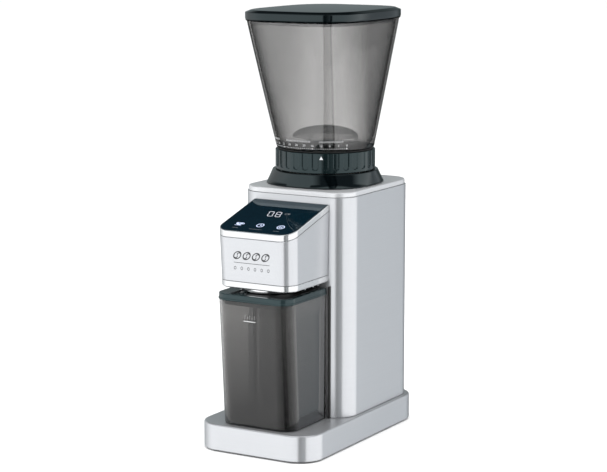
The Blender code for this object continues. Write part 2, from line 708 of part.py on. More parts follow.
# ---------------------------------------------------------------- motor
def make_motor(motor):
    bore = MOTOR_SHAFT + RUNNING
    inside = MOTOR_RADIUS - MOTOR_WALL
    add(turned("motor_can", [
        (bore, MOTOR_TOP), (MOTOR_RADIUS - 1 * mm, MOTOR_TOP), (MOTOR_RADIUS, MOTOR_TOP - 1 * mm),
        (MOTOR_RADIUS, MOTOR_BOTTOM), (inside, MOTOR_BOTTOM),
        (inside, MOTOR_TOP - MOTOR_WALL), (bore, MOTOR_TOP - MOTOR_WALL),
    ], ROUND), "zinc", SPINDLE)
    cap_top = MOTOR_BOTTOM - FIT
    cap_bottom = cap_top - END_CAP_LENGTH
    add(turned("motor_end_cap", [
        (inside, cap_top), (MOTOR_RADIUS, cap_top), (MOTOR_RADIUS, cap_bottom + 2 * mm),
        (MOTOR_RADIUS - 2 * mm, cap_bottom), (bore, cap_bottom),
        (bore, cap_bottom + MOTOR_WALL), (inside, cap_bottom + MOTOR_WALL),
    ], ROUND), "black", SPINDLE)
    armature = inside - MOTOR_AIR_GAP
    margin = 8 * mm
    add(tube("motor_armature", armature, MOTOR_SHAFT + FIT, MOTOR_BOTTOM + margin,
             MOTOR_TOP - MOTOR_WALL - margin, SMALL_ROUND), "burr", (0, 0, 0), motor)
    shaft_top = LOWER_MESH + GEAR_WIDTH + 0.8 * mm
    add(rod("motor_shaft", MOTOR_SHAFT, (0, 0, cap_bottom + 1 * mm), (0, 0, shaft_top)),
        "polished", (0, 0, 0), motor)


# ---------------------------------------------------------------- grinding chamber
def make_chamber():
    outer = CHAMBER_BORE + CHAMBER_WALL
    floor = CHAMBER_FLOOR - 4 * mm
    skirt = outer - 12 * mm
    hub = BEARING_RADIUS + FIT
    seat = floor - 6 * mm
    chamber = turned("grind_chamber", [
        (CHAMBER_BORE, CHAMBER_TOP), (outer, CHAMBER_TOP), (outer, floor),
        (skirt + 2 * mm, floor - 2 * mm), (skirt, GEARBOX_TOP + FIT),
        (skirt - 3 * mm, GEARBOX_TOP + FIT), (skirt - 3 * mm, floor - 2 * mm),
        (hub + 3 * mm, floor - 2 * mm), (hub + 3 * mm, seat), (hub, seat),
        (hub, CHAMBER_FLOOR), (CHAMBER_BORE, CHAMBER_FLOOR),
    ], ROUND)
    cut(chamber, block("outlet", (-CHUTE_HALF, -outer - 5 * mm, OUTLET_LOW),
                       (CHUTE_HALF, -CHAMBER_BORE + 8 * mm, OUTLET_LOW + OUTLET_HEIGHT)))
    add(chamber, "black", SPINDLE)
    add(tube("upper_bearing", BEARING_RADIUS, SHAFT_RADIUS + RUNNING, seat,
             CHAMBER_FLOOR - FIT, SMALL_ROUND), "bronze", SPINDLE)


def make_collar():
    inner = CHAMBER_BORE + CHAMBER_WALL + FIT
    foot = PLATE_TOP + FIT
    points = SECTION_POINTS
    rim = COLLAR_TOP_RADIUS - COLLAR_LIP

    def bore(z):
        return level(circle(inner, points, (0, AXIS_Y)), z)

    seat = RING_BOTTOM - 3 * mm
    collar = loft("collar", [
        bore(foot),
        level(squircle(COLLAR_HALF_X, COLLAR_HALF_Y, COLLAR_SQUARENESS, AXIS_Y), foot),
        level(squircle(COLLAR_HALF_X, COLLAR_HALF_Y, COLLAR_SQUARENESS, AXIS_Y),
              foot + 1.5 * mm),
        level(squircle(COLLAR_TOP_RADIUS, COLLAR_TOP_RADIUS, 2, AXIS_Y), COLLAR_TOP - 1 * mm),
        level(squircle(COLLAR_TOP_RADIUS - 1 * mm, COLLAR_TOP_RADIUS - 1 * mm, 2, AXIS_Y),
              COLLAR_TOP),
        level(squircle(rim, rim, 2, AXIS_Y), COLLAR_TOP),
        level(squircle(rim, rim, 2, AXIS_Y), seat),
        bore(seat),
    ], joined=True)
    add(collar, "black_gloss")


def ring_outline():
    """A round outline with shallow flutes for the fingers."""
    outline = []
    for flute in range(FLUTES):
        middle = -math.pi / 2 + 2 * math.pi * (flute + 0.5) / FLUTES
        width = math.pi / FLUTES
        for share, depth in ((-1.0, 0), (-0.62, 0), (-0.5, 1), (0.5, 1), (0.62, 0)):
            radius = RING_RADIUS - depth * FLUTE_DEPTH
            angle = middle + share * width
            outline.append((radius * math.cos(angle), radius * math.sin(angle)))
    return outline


def carrier_tabs(clearance):
    """Three tabs on the burr carrier, and their slots in the grind ring."""
    low = RING_BOTTOM - 0.2 * mm - clearance * 2
    high = RING_BOTTOM + RING_FLANGE - 0.8 * mm + clearance * 4
    for turn in (90, 210, 330):
        half_width = TAB_HALF_WIDTH + clearance
        key = block("tab", (CARRIER_OUTER - 1.5 * mm, -half_width, low),
                    (RING_BORE - 2 * mm + clearance, half_width, high))
        key.data.transform(Matrix.Rotation(math.radians(turn), 4, "Z"))
        yield key


def make_ring_and_carrier(ring_pivot, carrier_pivot):
    flange_bore = CHAMBER_BORE - RUNNING
    points = [circle(RING_BORE, SMALL_ROUND * 3)]
    ring = flat("grind_ring", [ring_outline()] + points, RING_BOTTOM, RING_TOP)
    weld(ring, tube("flange", RING_BORE + 1 * mm, flange_bore, RING_BOTTOM,
                    RING_BOTTOM + RING_FLANGE, ROUND))
    for slot in carrier_tabs(RUNNING):
        cut(ring, slot)
    add(ring, "black_gloss", (0, 0, 0), ring_pivot)

    burr_fit = BURR_OUTER + FIT
    top = RING_BOTTOM + RING_FLANGE - 0.3 * mm
    seat = CONE_TOP_Z - 6 * mm + FIT
    carrier = turned("burr_carrier", [
        (CARRIER_BORE, top), (CARRIER_OUTER, top), (CARRIER_OUTER, CONE_BOTTOM_Z + 6 * mm),
        (burr_fit, CONE_BOTTOM_Z + 6 * mm), (burr_fit, seat), (BURR_OUTER - 6 * mm, seat),
        (BURR_OUTER - 6 * mm, seat + 3 * mm), (CARRIER_BORE, seat + 6 * mm),
    ], ROUND)
    for tab in carrier_tabs(0):
        weld(carrier, tab)
    add(carrier, "nylon", (0, 0, 0), carrier_pivot)


def cone_radius(z):
    """The cone burr's radius at a height."""
    share = (z - CONE_BOTTOM_Z - 3 * mm) / (CONE_TOP_Z - CONE_BOTTOM_Z - 3 * mm)
    return CONE_FOOT + (CONE_TOP - CONE_FOOT) * max(0.0, share)


def make_burrs(carrier_pivot, spindle):
    gap = 1.0 * mm
    mouth = 7.0 * mm
    bottom, top = CONE_BOTTOM_Z + 1 * mm, CONE_TOP_Z - 6 * mm
    burr = turned("ring_burr", [
        (cone_radius(top) + mouth, top), (BURR_OUTER, top), (BURR_OUTER, bottom),
        (cone_radius(bottom) + gap, bottom),
        (cone_radius(bottom + 6 * mm) + gap * 1.5, bottom + 6 * mm),
    ], ROUND)
    add(burr, "burr", (0, 0, 0), carrier_pivot)

    bore = SHAFT_RADIUS + FIT
    cone_steps = 4
    rise = (CONE_HEIGHT - 3 * mm) / cone_steps
    heights = [CONE_BOTTOM_Z]
    heights += [CONE_BOTTOM_Z + 3 * mm + rise * i for i in range(cone_steps + 1)]

    def star(z):
        twist = 14.0 * (z - CONE_BOTTOM_Z)
        section = []
        for i in range(2 * CONE_TEETH):
            radius = cone_radius(z) * (0.88 if i % 2 else 1.0)
            angle = math.pi * i / CONE_TEETH + twist
            section.append((radius * math.cos(angle), radius * math.sin(angle), z))
        return section

    rings = [level(circle(bore, 2 * CONE_TEETH), CONE_BOTTOM_Z)]
    rings += [star(z) for z in heights]
    rings += [level(circle(bore, 2 * CONE_TEETH), heights[-1])]
    add(loft("cone_burr", rings, joined=True), "burr", (0, 0, 0), spindle)

    disc_bottom = CHAMBER_FLOOR + 2.5 * mm
    disc_top = disc_bottom + 3 * mm
    disc_radius = CHAMBER_BORE - 1.2 * mm
    disc = tube("sweep_disc", disc_radius, bore, disc_bottom, disc_top, ROUND)
    for turn in range(4):
        paddle = block("paddle", (CONE_FOOT + 2 * mm, -1.2 * mm, disc_top - 1 * mm),
                       (disc_radius - 1 * mm, 1.2 * mm, disc_top + 5 * mm))
        paddle.data.transform(Matrix.Rotation(math.pi / 2 * turn, 4, "Z"))
        weld(disc, paddle)
    add(disc, "nylon", (0, 0, 0), spindle)

    shaft_foot = LOWER_MESH + GEAR_WIDTH + 1.4 * mm
    add(rod("drive_shaft", SHAFT_RADIUS, (0, 0, shaft_foot), (0, 0, SHAFT_TOP)),
        "polished", (0, 0, 0), spindle)
    nut = flat("burr_nut", [circle(7 * mm, 6), circle(bore, SMALL_ROUND)],
               CONE_TOP_Z + FIT, CONE_TOP_Z + 4.5 * mm)
    add(nut, "polished", (0, 0, 0), spindle)


# ---------------------------------------------------------------- hopper
def hopper_section(z, inset=0.0):
    """Round at the foot, growing squarer and wider towards the top."""
    share = max(0.0, min(1.0, (z - HOPPER_FOOT) / (HOPPER_TOP - HOPPER_FOOT)))
    top_x = LID_HALF_X - LID_OVERHANG
    top_y = LID_HALF_Y - LID_OVERHANG
    half_x = HOPPER_RADIUS + (top_x - HOPPER_RADIUS) * share - inset
    half_y = HOPPER_RADIUS + (top_y - HOPPER_RADIUS) * share - inset
    squareness = 2 + (HOPPER_SQUARENESS - 2) * share
    return level(squircle(half_x, half_y, squareness, AXIS_Y + HOPPER_SHIFT * share), z)


def make_hopper(hopper):
    levels = 5
    step = (HOPPER_TOP - HOPPER_FOOT) / levels
    points = SECTION_POINTS

    def ring(radius, z):
        return level(circle(radius, points, (0, AXIS_Y)), z)

    neck_bottom = HOPPER_FOOT - NECK_LENGTH
    floor_low = HOPPER_FOOT - 5 * mm
    outer = [hopper_section(HOPPER_FOOT + step * i) for i in range(levels, 0, -1)]
    outer += [hopper_section(HOPPER_FOOT + 2 * mm), ring(HOPPER_RADIUS - 1.2 * mm, HOPPER_FOOT)]
    neck = [ring(NECK_RADIUS, HOPPER_FOOT), ring(NECK_RADIUS, neck_bottom),
            ring(NECK_BORE, neck_bottom), ring(NECK_BORE, floor_low)]
    inner = [hopper_section(HOPPER_FOOT + 4 * mm, HOPPER_WALL)]
    inner += [hopper_section(HOPPER_FOOT + step * i, HOPPER_WALL) for i in range(1, levels + 1)]
    add(loft("hopper", outer + neck + inner, joined=True), "smoke", (0, 0, 0), hopper)

    seal = tube("hopper_seal", HOPPER_RADIUS - 0.8 * mm, NECK_RADIUS + FIT,
                RING_TOP + RUNNING, HOPPER_FOOT - FIT)
    add(seal, "rubber", SPINDLE, hopper)

    wall = 2.0 * mm
    rim = GUARD_Z
    guard = turned("bean_guard", [
        (0, rim + GUARD_RISE), (GUARD_RADIUS * 0.4, rim + GUARD_RISE * 0.9),
        (GUARD_RADIUS * 0.75, rim + GUARD_RISE * 0.55), (GUARD_RADIUS, rim),
        (GUARD_RADIUS - wall, rim), (GUARD_RADIUS * 0.7, rim + GUARD_RISE * 0.42),
        (0, rim + GUARD_RISE - wall),
    ], ROUND, closed=False)
    for turn in (30, 150, 270):
        leg = block("leg", (NECK_BORE - 5 * mm, -3 * mm, neck_bottom + 5 * mm),
                    (NECK_BORE - 1 * mm, 3 * mm, rim + 3 * mm))
        leg.data.transform(Matrix.Rotation(math.radians(turn), 4, "Z"))
        weld(guard, leg)
    add(guard, "smoke", SPINDLE, hopper)


def make_hopper_lid(lid):
    centre = AXIS_Y + HOPPER_SHIFT
    edge_in, edge_down = 5.0 * mm, 2.4 * mm

    def section(inset, z):
        half_x, half_y = LID_HALF_X - inset, LID_HALF_Y - inset
        return level(squircle(half_x, half_y, HOPPER_SQUARENESS, centre), z)

    def plug(gap, z):
        """The hopper's inside at the foot of the plug, less a gap."""
        inside = hopper_section(PLUG_BOTTOM, HOPPER_WALL + gap)
        return [(x, y, z) for x, y, _ in inside]

    ceiling = HEIGHT - LID_WALL - edge_down
    add(loft("hopper_lid", [
        plug(PLUG_GAP + LID_WALL, ceiling),
        plug(PLUG_GAP + LID_WALL, PLUG_BOTTOM),
        plug(PLUG_GAP, PLUG_BOTTOM),
        plug(PLUG_GAP, LID_BOTTOM),
        section(0, LID_BOTTOM),
        section(0, HEIGHT - edge_down),
        section(edge_in * 0.25, HEIGHT - edge_down * 0.45),
        section(edge_in, HEIGHT),
    ]), "black_gloss", (0, 0, 0), lid)

    seal_low = PLUG_BOTTOM + 0.5 * mm
    seal_high = seal_low + LID_SEAL_HEIGHT
    add(loft("lid_seal", [plug(FIT, seal_low), plug(FIT, seal_high),
                          plug(PLUG_GAP - FIT, seal_high), plug(PLUG_GAP - FIT, seal_low)],
             joined=True),
        "silicone", (0, 0, 0), lid)


# ---------------------------------------------------------------- head
def head_outline(share, inset=0.0):
    """The head's plan at a share of its height, 0 at the bottom, 1 at the top."""
    half = HEAD_HALF_BOTTOM + (HEAD_HALF_TOP - HEAD_HALF_BOTTOM) * share
    front = HEAD_FRONT_BOTTOM + (HEAD_FRONT_TOP - HEAD_FRONT_BOTTOM) * share
    corner = max(HEAD_CORNER - inset, 1 * mm)
    return rounded(half - inset, front + inset, HEAD_REAR - inset, corner, 0.5 * mm)


def make_head():
    low, high = HEAD_LOWER_SEAM + FIT / 2, HEAD_UPPER_SEAM - FIT / 2
    bottom = horseshoe(HEAD_HALF_BOTTOM, HEAD_FRONT_BOTTOM, HEAD_REAR, HEAD_CORNER, HEAD_WALL)
    top = horseshoe(HEAD_HALF_TOP, HEAD_FRONT_TOP, HEAD_REAR, HEAD_CORNER, HEAD_WALL)
    add(loft("head_housing", [level(bottom, low), sloped(top, high)]), "steel")

    rim_top = GLASS_FRONT - 0.2 * mm
    bed = GLASS_FRONT - GLASS_THICK - FIT
    frame_low = HEAD_UPPER_SEAM + FIT / 2
    rim = GLASS_INSET - FIT
    add(loft("head_top_trim", [
        sloped(head_outline(1), frame_low), sloped(head_outline(1), rim_top),
        sloped(head_outline(1, rim), rim_top), sloped(head_outline(1, rim), bed),
        sloped(head_outline(1, TRIM_WIDTH), bed), sloped(head_outline(1, TRIM_WIDTH), frame_low),
    ], joined=True), "polished")
    add(loft("control_glass", [
        sloped(head_outline(1, GLASS_INSET), GLASS_FRONT - GLASS_THICK),
        sloped(head_outline(1, GLASS_INSET), GLASS_FRONT),
    ]), "glass")

    opening = HEAD_WALL + 2 * mm
    add(loft("head_bottom_trim", [
        level(head_outline(0), HEAD_BOTTOM + 1 * mm),
        level(head_outline(0), HEAD_LOWER_SEAM - FIT / 2),
        level(head_outline(0, opening), HEAD_LOWER_SEAM - FIT / 2),
        level(head_outline(0, opening), HEAD_BOTTOM),
        level(head_outline(0, 1 * mm), HEAD_BOTTOM),
    ], joined=True), "polished")
    spout_hole = rectangle(SPOUT_HALF_X + CHUTE_WALL + FIT, SPOUT_HALF_Y + CHUTE_WALL + FIT,
                           0, SPOUT_Y)
    plate_low = HEAD_BOTTOM + 1.5 * mm
    add(flat("head_bottom_plate", [head_outline(0, opening + FIT), spout_hole],
             plate_low, plate_low + 2 * mm), "black")
    add(tube("outlet_rim", OUTLET_RIM_RADIUS, OUTLET_RIM_RADIUS - OUTLET_RIM_WALL,
             CONTAINER_LID_TOP + OUTLET_RIM_CLEARANCE, plate_low - FIT), "polished",
        (0, SPOUT_Y - OUTLET_RIM_FORWARD, 0))


def make_controls():
    board_top = GLASS_FRONT - GLASS_THICK - BOARD_DROP
    board = head_outline(1, TRIM_WIDTH + 2 * mm)
    add(loft("control_board", [
        sloped(board, board_top - BOARD_THICK), sloped(board, board_top),
    ]), "board")
    glass_under = GLASS_FRONT - GLASS_THICK
    window = rectangle(DISPLAY_HALF_X, DISPLAY_HALF_Y, 0, DISPLAY_Y)
    add(loft("display_module", [
        sloped(window, board_top + FIT), sloped(window, glass_under - FIT),
    ]), "display")
    for shift, name in ((-1, "left"), (0, "middle"), (1, "right")):
        pad = circle(TOUCH_RADIUS, SMALL_ROUND, (shift * TOUCH_SPACING, TOUCH_Y))
        add(loft("touch_pad_" + name, [
            sloped(pad, board_top + FIT), sloped(pad, glass_under - FIT),
        ]), "silicone")


def make_chute():
    """A duct from the chamber's outlet, down through the head to the spout."""
    start = AXIS_Y - CHAMBER_BORE - CHAMBER_WALL - FIT
    front, back = SPOUT_Y - SPOUT_HALF_Y, SPOUT_Y + SPOUT_HALF_Y
    drop = OUTLET_LOW - 20 * mm
    lower = [(start, OUTLET_LOW), (back + 14 * mm, OUTLET_LOW - 14 * mm),
             (back + 2 * mm, drop), (back, drop - 9 * mm), (back, SPOUT_BOTTOM)]
    upper = [(start, OUTLET_LOW + OUTLET_HEIGHT), (back + 6 * mm, OUTLET_LOW + 1 * mm),
             (front + 4 * mm, drop + 14 * mm), (front, drop + 2 * mm), (front, SPOUT_BOTTOM)]
    halves = [CHUTE_HALF, CHUTE_HALF, SPOUT_HALF_X + 1 * mm, SPOUT_HALF_X, SPOUT_HALF_X]

    def section(index, wall):
        (y0, z0), (y1, z1) = lower[index], upper[index]
        out = Vector((0, y1 - y0, z1 - z0)).normalized() * wall
        half = halves[index] + wall
        y0, z0, y1, z1 = y0 - out.y, z0 - out.z, y1 + out.y, z1 + out.z
        return [(-half, y0, z0), (half, y0, z0), (half, y1, z1), (-half, y1, z1)]

    count = len(lower)
    rings = [section(i, CHUTE_WALL) for i in range(count)]
    rings += [section(i, 0) for i in reversed(range(count))]
    add(loft("chute", rings, joined=True), "black")


# ---------------------------------------------------------------- electrics
def make_electrics():
    face = TOWER_REAR - TOWER_WALL - 10 * mm
    board = block("power_board", (-36 * mm, face, 62 * mm), (36 * mm, face + BOARD_THICK, 124 * mm))
    deep = face + 0.5 * mm
    for x, z, half_x, half_z, proud in ((-20, 80, 11, 13, 8), (10, 84, 7, 9, 7), (22, 108, 9, 7, 6)):
        weld(board, block("part", ((x - half_x) * mm, deep - proud * mm, (z - half_z) * mm),
                          ((x + half_x) * mm, deep, (z + half_z) * mm)))
    add(board, "board")
    reach = CHAMBER_BORE + CHAMBER_WALL + 1.5 * mm
    high = TOWER_TOP - 7.8 * mm
    switch = block("hopper_microswitch", (reach, AXIS_Y - 10 * mm, high - 12 * mm),
                   (reach + 7 * mm, AXIS_Y + 10 * mm, high))
    weld(switch, block("plunger", (reach + 2 * mm, AXIS_Y - 2 * mm, high - 1 * mm),
                       (reach + 5 * mm, AXIS_Y + 2 * mm, high + 3 * mm)))
    add(switch, "black")


# ---------------------------------------------------------------- grounds container
def container_outline(share, inset=0.0):
    half = CONTAINER_HALF_BOTTOM + (CONTAINER_HALF_TOP - CONTAINER_HALF_BOTTOM) * share
    front = CONTAINER_FRONT_BOTTOM + (CONTAINER_FRONT_TOP - CONTAINER_FRONT_BOTTOM) * share
    return rounded(half - inset, front + inset, CONTAINER_REAR - inset,
                   CONTAINER_CORNER - inset, CONTAINER_REAR_CORNER - min(inset, 2.5 * mm))


def make_container(container):
    bottom = BASE_TOP + FIT
    top = CONTAINER_TOP
    wall = CONTAINER_WALL
    add(loft("grounds_container", [
        level(container_outline(0, 1.2 * mm), bottom),
        level(container_outline(0), bottom + 1.2 * mm),
        level(container_outline(1), top),
        level(container_outline(1, wall), top),
        level(container_outline(0, wall), bottom + wall),
    ]), "smoke", (0, 0, 0), container)

    lid_low = top + FIT
    plate_low = CONTAINER_LID_TOP - CONTAINER_LID_PLATE
    rim = 3.0 * mm
    plug = wall + FIT + 0.4 * mm

    def lid(inset, z):
        return level(rounded(CONTAINER_LID_HALF - inset, LID_FRONT + inset,
                             CONTAINER_REAR - inset, CONTAINER_CORNER - inset,
                             CONTAINER_REAR_CORNER - min(inset, 2.8 * mm)), z)

    cap = loft("container_lid", [
        lid(rim + 2 * mm, plate_low), lid(rim + 2 * mm, top - 4 * mm),
        lid(rim + 0.4 * mm, top - 4 * mm), lid(rim + 0.4 * mm, lid_low),
        lid(0, lid_low), lid(0, lid_low + 1.2 * mm), lid(0.5 * mm, lid_low + 1.6 * mm),
        lid(0.5 * mm, CONTAINER_LID_TOP - 0.8 * mm), lid(1.3 * mm, CONTAINER_LID_TOP),
    ])
    cut(cap, block("hole", (-LID_HOLE_HALF_X, SPOUT_Y - LID_HOLE_HALF_Y, plate_low - plug),
                   (LID_HOLE_HALF_X, SPOUT_Y + LID_HOLE_HALF_Y, CONTAINER_LID_TOP + plug)))
    add(cap, "black", (0, 0, 0), container)


# ---------------------------------------------------------------- assembly
def main():
    make_base()
    make_tower()
    make_gland()
    make_gearbox(make_inner_frame())
    spindle = pivot("burr_spin_axis", SPINDLE)
    layshaft = pivot("intermediate_spin_axis", LAYSHAFT)
    motor = pivot("motor_spin_axis", SPINDLE)
    make_gear_train(spindle, layshaft, motor)
    make_motor(motor)
    make_chamber()
    make_collar()
    ring = pivot("grind_ring_axis", SPINDLE)
    carrier = pivot("burr_carrier_lift", (0, 0, 0), ring)
    make_ring_and_carrier(ring, carrier)
    make_burrs(carrier, spindle)
    hopper = pivot("hopper_lift", (0, 0, 0))
    make_hopper(hopper)
    make_hopper_lid(pivot("lid_lift", (0, 0, 0), hopper))
    make_head()
    make_controls()
    make_chute()
    make_electrics()
    make_container(pivot("container_slide", (0, 0, 0)))


for leftover in list(bpy.data.objects):
    bpy.data.objects.remove(leftover)
bpy.context.scene.collection.children.link(parts)
bpy.context.scene.collection.children.link(tools)
colours = make_finishes()
main()
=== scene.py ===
"""Looks of the conical-burr coffee grinder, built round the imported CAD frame."""
import math

import bmesh
import bpy
from mathutils import Matrix, Vector


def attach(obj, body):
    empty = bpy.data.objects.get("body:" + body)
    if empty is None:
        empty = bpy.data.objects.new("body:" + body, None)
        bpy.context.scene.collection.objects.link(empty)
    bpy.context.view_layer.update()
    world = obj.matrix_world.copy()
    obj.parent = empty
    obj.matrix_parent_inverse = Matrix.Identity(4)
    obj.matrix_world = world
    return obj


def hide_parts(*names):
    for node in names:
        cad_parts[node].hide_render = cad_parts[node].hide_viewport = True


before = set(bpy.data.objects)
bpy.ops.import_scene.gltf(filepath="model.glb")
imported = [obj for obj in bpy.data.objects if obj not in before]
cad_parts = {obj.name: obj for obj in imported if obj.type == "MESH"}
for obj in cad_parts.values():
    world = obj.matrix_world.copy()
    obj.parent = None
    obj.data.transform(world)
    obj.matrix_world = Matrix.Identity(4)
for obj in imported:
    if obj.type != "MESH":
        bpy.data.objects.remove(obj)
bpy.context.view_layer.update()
mm = 0.001

# ------------------------------------------------------------------ sizes
AXIS_Y = 29.7 * mm
DEPTH_HALF = 103.45 * mm
BASE_HALF = 59.75 * mm
BASE_FRONT = -102.15 * mm
BASE_CORNER = 23.4 * mm
BASE_TOP = 25.0 * mm
BASE_WALL = 1.6 * mm
TOWER_HALF = 55.8 * mm
TOWER_FRONT = -31.0 * mm
TOWER_REAR = 98.7 * mm
TOWER_CORNER = 21.0 * mm
TOWER_WALL = 1.5 * mm
TOWER_TOP = 225.8 * mm
PLATE_TOP = 230.5 * mm
PLATE_HOLE = 38.6 * mm
SEAM = 0.3 * mm                 # gap between one piece and the next
COLLAR_BORE = 38.3 * mm
COLLAR_FOOT = 50.4 * mm         # half width of the squarish foot
COLLAR_SQUARENESS = 2.6
COLLAR_RIM = 48.6 * mm          # radius of the round top
COLLAR_TOP = 243.2 * mm
RING_BOTTOM = 243.6 * mm
RING_TOP = 262.0 * mm
RING_RADIUS = 45.8 * mm
RING_BORE = 38.4 * mm
RING_THROAT = 34.2 * mm         # radius inside the flange
RING_FLANGE = RING_BOTTOM + 3.0 * mm
FLUTES = 30
FLUTE_DEPTH = 1.0 * mm
FLUTE_HALF_WIDTH = 2.75 * mm
FLUTE_SOFTNESS = 0.6 * mm       # how far its sides slope
HOPPER_FOOT = 263.6 * mm
HOPPER_TOP = 380.3 * mm
HOPPER_RADIUS = 44.7 * mm       # at the foot, where it is round
HOPPER_HALF_X = 55.5 * mm       # at the mouth
HOPPER_HALF_Y = 70.5 * mm
MOUTH_SQUARENESS = 3.7
MOUTH_SHIFT = 3.0 * mm          # the mouth's centre is this far forward
HOPPER_WALL = 2.0 * mm
NECK_RADIUS = 37.6 * mm
NECK_BORE = 31.0 * mm
NECK_BOTTOM = HOPPER_FOOT - 15 * mm
GUARD_FOOT = 272.7 * mm
GUARD_RISE = 10 * mm
GUARD_RADIUS = 30.3 * mm
GUARD_WALL = 2 * mm
SETTINGS = 48
SETTING_TURN = 2.5              # degrees from one setting to the next
FIRST_SETTING = -35             # degrees round the axis
MARKER_ANGLE = -65
LID_BOTTOM = 380.6 * mm
LID_TOP = 390.0 * mm
LID_HALF_X = 56.8 * mm
LID_HALF_Y = 71.8 * mm
PLUG = 3.6 * mm
HEAD_REAR = -31.3 * mm
HEAD_FRONT_TOP = -99.3 * mm
HEAD_FRONT_BOTTOM = -97.5 * mm
GLASS_FRONT = 201.3 * mm
GLASS_RISE = 18.9 * mm
SLOPE = math.atan2(GLASS_RISE, HEAD_REAR - HEAD_FRONT_TOP)
TOUCH_Y = -84.0 * mm
DISPLAY_Y = -60.0 * mm
HEAD_BOTTOM = 149.9 * mm
UNDERSIDE = 151.1 * mm          # the face that the outlet rim hangs from
HEAD_CORNER = 13 * mm
HEAD_WALL = 1.5 * mm
CONTAINER_TOP = 139.3 * mm
CONTAINER_WALL = 2.2 * mm
CONTAINER_SPLAY = 7.1 * mm      # the mouth's front is this far ahead of the foot's
CONTAINER_REAR = -32.2 * mm
CONTAINER_CORNER = 14 * mm
CONTAINER_REAR_CORNER = 4 * mm
CONTAINER_LID_TOP = 145.2 * mm
CONTAINER_LID_HALF = 38.6 * mm
POINTS = 144                    # points round an oval outline
PAST = 0.5 * mm                 # from an arc's end to the point that keeps the flat flat


# ------------------------------------------------------------------ outlines
def rounded(half, front, rear, front_radius, rear_radius=None, steps=12):
    """A rectangle with rounded corners and a point just past each arc's ends."""
    rear_radius = front_radius if rear_radius is None else rear_radius
    outline = []
    for side, end, radius, start in ((1, front, front_radius, -90), (1, rear, rear_radius, 0),
                                     (-1, rear, rear_radius, 90), (-1, front, front_radius, 180)):
        centre = Vector((side * (half - radius), end + (radius if end == front else -radius)))
        spokes = [Vector((math.cos(a), math.sin(a))) for a in
                  (math.radians(start + 90 * i / steps) for i in range(steps + 1))]
        first, last = spokes[0], spokes[-1]
        outline.append(centre + first * radius - Vector((-first.y, first.x)) * PAST)
        outline += [centre + spoke * radius for spoke in spokes]
        outline.append(centre + last * radius + Vector((-last.y, last.x)) * PAST)
    return outline


def on_oval(half_x, half_y, squareness, centre_y, angle):
    c, s = math.cos(angle), math.sin(angle)
    reach = (abs(c) ** squareness + abs(s) ** squareness) ** (-1 / squareness)
    return Vector((half_x * reach * c, centre_y + half_y * reach * s))


def oval(half_x, half_y, squareness=2.0, centre_y=AXIS_Y, points=POINTS):
    """A superellipse: squareness 2 is an ellipse, larger is squarer."""
    return [on_oval(half_x, half_y, squareness, centre_y, 2 * math.pi * i / points)
            for i in range(points)]


def circle(radius, points=POINTS):
    return oval(radius, radius, points=points)


def at(outline, z):
    return [Vector((p.x, p.y, z)) for p in outline]


def panel_z(y, front=GLASS_FRONT):
    return front + GLASS_RISE * (y - HEAD_FRONT_TOP) / (HEAD_REAR - HEAD_FRONT_TOP)


def sloped(outline, front):
    """Lay an outline on a plane that is parallel to the control panel."""
    return [Vector((p.x, p.y, panel_z(p.y, front))) for p in outline]


EASE_PAST = 1.2                 # a point just past a rounded corner, in its radii


def eased(profile, steps=4):
    """Round the corners of a row of (offset, height, radius) points."""
    row = []
    for i, (offset, height, radius) in enumerate(profile):
        here = Vector((offset, height))
        if radius == 0 or i in (0, len(profile) - 1):
            row.append(here)
            continue
        back = (Vector(profile[i - 1][:2]) - here).normalized() * radius
        on = (Vector(profile[i + 1][:2]) - here).normalized() * radius
        row.append(here + back * EASE_PAST)
        for step in range(steps + 1):
            t = step / steps
            row.append(here + back * (1 - t) ** 2 + on * t ** 2)
        row.append(here + on * EASE_PAST)
    return row


# ------------------------------------------------------------------ making pieces
SHARP_EDGE = math.radians(35)
WELD = 1e-6


def finished(name, bm, finish, body, slot=None, replaces=()):
    """Turn a bmesh into a piece that rides a body."""
    bmesh.ops.recalc_face_normals(bm, faces=bm.faces)
    mesh = bpy.data.meshes.new(name)
    bm.to_mesh(mesh)
    bm.free()
    mesh.materials.append(finish)
    mesh.shade_smooth()
    mesh.set_sharp_from_angle(angle=SHARP_EDGE)
    piece = bpy.data.objects.new(name, mesh)
    bpy.context.scene.collection.objects.link(piece)
    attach(piece, body)
    if replaces:
        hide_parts(*replaces)


def loft(bm, outlines, joined=False):
    """Extrude a loop of edges through a row of matching outlines."""
    loop = bmesh.ops.create_circle(bm, cap_ends=False, segments=len(outlines[0]), radius=1)
    row = first = loop["verts"]
    for vert, point in zip(row, outlines[0]):
        vert.co = point
    for outline in outlines[1:] + ([outlines[0]] if joined else []):
        edges = [bm.edges.get((a, b)) for a, b in zip(row, row[1:] + row[:1])]
        made = bmesh.ops.extrude_edge_only(bm, edges=edges)
        new = {v for v in made["geom"] if isinstance(v, bmesh.types.BMVert)}
        row = [next(e.other_vert(v) for e in v.link_edges if e.other_vert(v) in new)
               for v in row]
        for vert, point in zip(row, outline):
            vert.co = point
    if joined:
        bmesh.ops.remove_doubles(bm, verts=first + row, dist=WELD / 10)
    else:
        for end in (first, row):
            edges = [bm.edges.get((a, b)) for a, b in zip(end, end[1:] + end[:1])]
            bmesh.ops.edgeloop_fill(bm, edges=edges)


def lofted(name, outlines, finish, body, joined=False, **given):
    bm = bmesh.new()
    loft(bm, outlines, joined)
    finished(name, bm, finish, body, **given)


